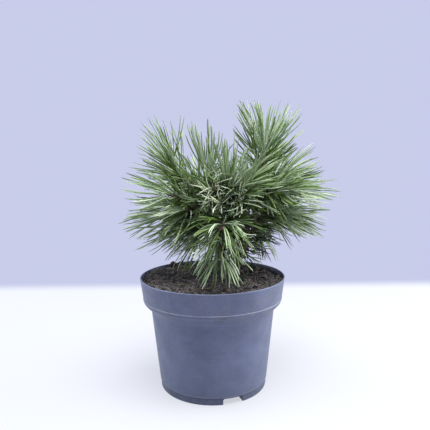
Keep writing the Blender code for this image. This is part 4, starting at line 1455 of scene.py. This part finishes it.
def make_buds(shoots, draw):
    """A bud at each shoot's tip with smaller ones round its foot."""
    heap = Heap()
    for shoot in shoots:
        tip = shoot.line[-1]
        along = unit(tip - shoot.line[-4])
        add_bud(heap, tip - along * BUD_SUNK, along, BUD_LENGTH, BUD_RADIUS, draw.uniform(0.0, 6.3))
        turn = draw.uniform(0.0, 2.0 * math.pi)
        for _ in range(SMALL_BUDS):
            turn += 2.0 * math.pi / SMALL_BUDS + draw.uniform(-0.4, 0.4)
            side = swung(across_from(along), along, turn)
            base = tip - along * SMALL_BUD_SUNK + side * SMALL_BUD_OUT
            add_bud(heap, base, unit(along + SMALL_BUD_LEAN * side), BUD_LENGTH * draw.uniform(0.42, 0.62),
                    BUD_RADIUS * SMALL_BUD_RADIUS, draw.uniform(0.0, 6.3))
    finish_piece(heap.make("buds", bark_material("bud_scales"), 60.0), NEEDLE_NODES)


def make_plant():
    """Trunk and boughs, then shoots, side twigs and buds, then every needle."""
    draw = random.Random(CROWN_SEED)
    limits = Limits()
    tips, bough_twigs = make_limbs(limits)
    shoots = grow_shoots(tips, limits)
    side_twigs = grow_side_twigs(shoots, limits)
    make_twigs(shoots, side_twigs)
    make_buds(shoots, draw)
    make_needles(shoots + side_twigs + bough_twigs + old_lengths(shoots), Spaces(shoots), limits)


def make_camera():
    """The camera that the photograph was fitted with."""
    data = bpy.data.cameras.new("camera")
    data.sensor_width = SENSOR_MM
    data.lens = FOCAL_PIXELS / PICTURE_SIDE * SENSOR_MM
    data.clip_start = 0.01
    camera = new_thing("camera", data)
    pitch = Matrix.Rotation(math.radians(90.0 - CAMERA_PITCH), 4, "X")
    roll = Matrix.Rotation(math.radians(-CAMERA_ROLL), 4, "Z")
    camera.matrix_world = Matrix.Translation(CAMERA_PLACE) @ pitch @ roll
    bpy.context.scene.camera = camera


def add_light(name, place, size, power, colour):
    """A square soft light at a place, turned towards the plant."""
    data = bpy.data.lights.new(name, "AREA")
    data.size = size
    data.energy = power
    data.color = colour
    light = new_thing(name, data)
    light.location = place
    light.rotation_mode = "QUATERNION"
    light.rotation_quaternion = (Vector(LIGHT_AIM) - Vector(place)).to_track_quat("-Z", "Y")


def make_stage():
    """A pale floor that glows a little and turns into the backdrop's colour, and soft light."""
    build = bmesh.new()
    bmesh.ops.create_circle(build, cap_ends=True, segments=96, radius=FLOOR_RADIUS)
    material, tree, shader, place = new_material("floor_pale", FLOOR_WHITE, 0.6, 0.2)
    shader.inputs["Emission Color"].default_value = (*FLOOR_GLOW, 1.0)
    shader.inputs["Emission Strength"].default_value = FLOOR_GLOW_SHARE
    flat = add_node(tree, "ShaderNodeVectorMath", {0: place}, operation="ABSOLUTE").outputs[0]
    sides = add_node(tree, "ShaderNodeSeparateXYZ", {0: flat}).outputs
    across = times(tree, sides["X"], FLOOR_SQUEEZE)
    away = math_node(tree, "SMOOTH_MAX", across, sides["Y"], FLOOR_CORNER)
    far = remap(tree, away, *FLOOR_FADE, kind="SMOOTHSTEP")
    glow = add_node(tree, "ShaderNodeEmission", {"Color": (*BACKDROP, 1.0)}).outputs[0]
    blend = add_node(tree, "ShaderNodeMixShader", {0: far, 1: shader.outputs[0], 2: glow})
    tree.links.new(blend.outputs[0], tree.nodes["Material Output"].inputs["Surface"])
    floor = make_object("floor", build, material)
    world = bpy.data.worlds.new("backdrop")
    world.use_nodes = True
    tree = world.node_tree
    seen = add_node(tree, "ShaderNodeLightPath").outputs["Is Camera Ray"]
    tree.links.new(mixed(tree, seen, AMBIENT, BACKDROP), tree.nodes["Background"].inputs["Color"])
    tree.nodes["Background"].inputs["Strength"].default_value = 1.0
    bpy.context.scene.world = world
    for light in LIGHTS:
        add_light(*light)
    bpy.context.scene.view_settings.view_transform = "Standard"


make_camera()
make_stage()
make_pot()
make_mix()
make_plant()
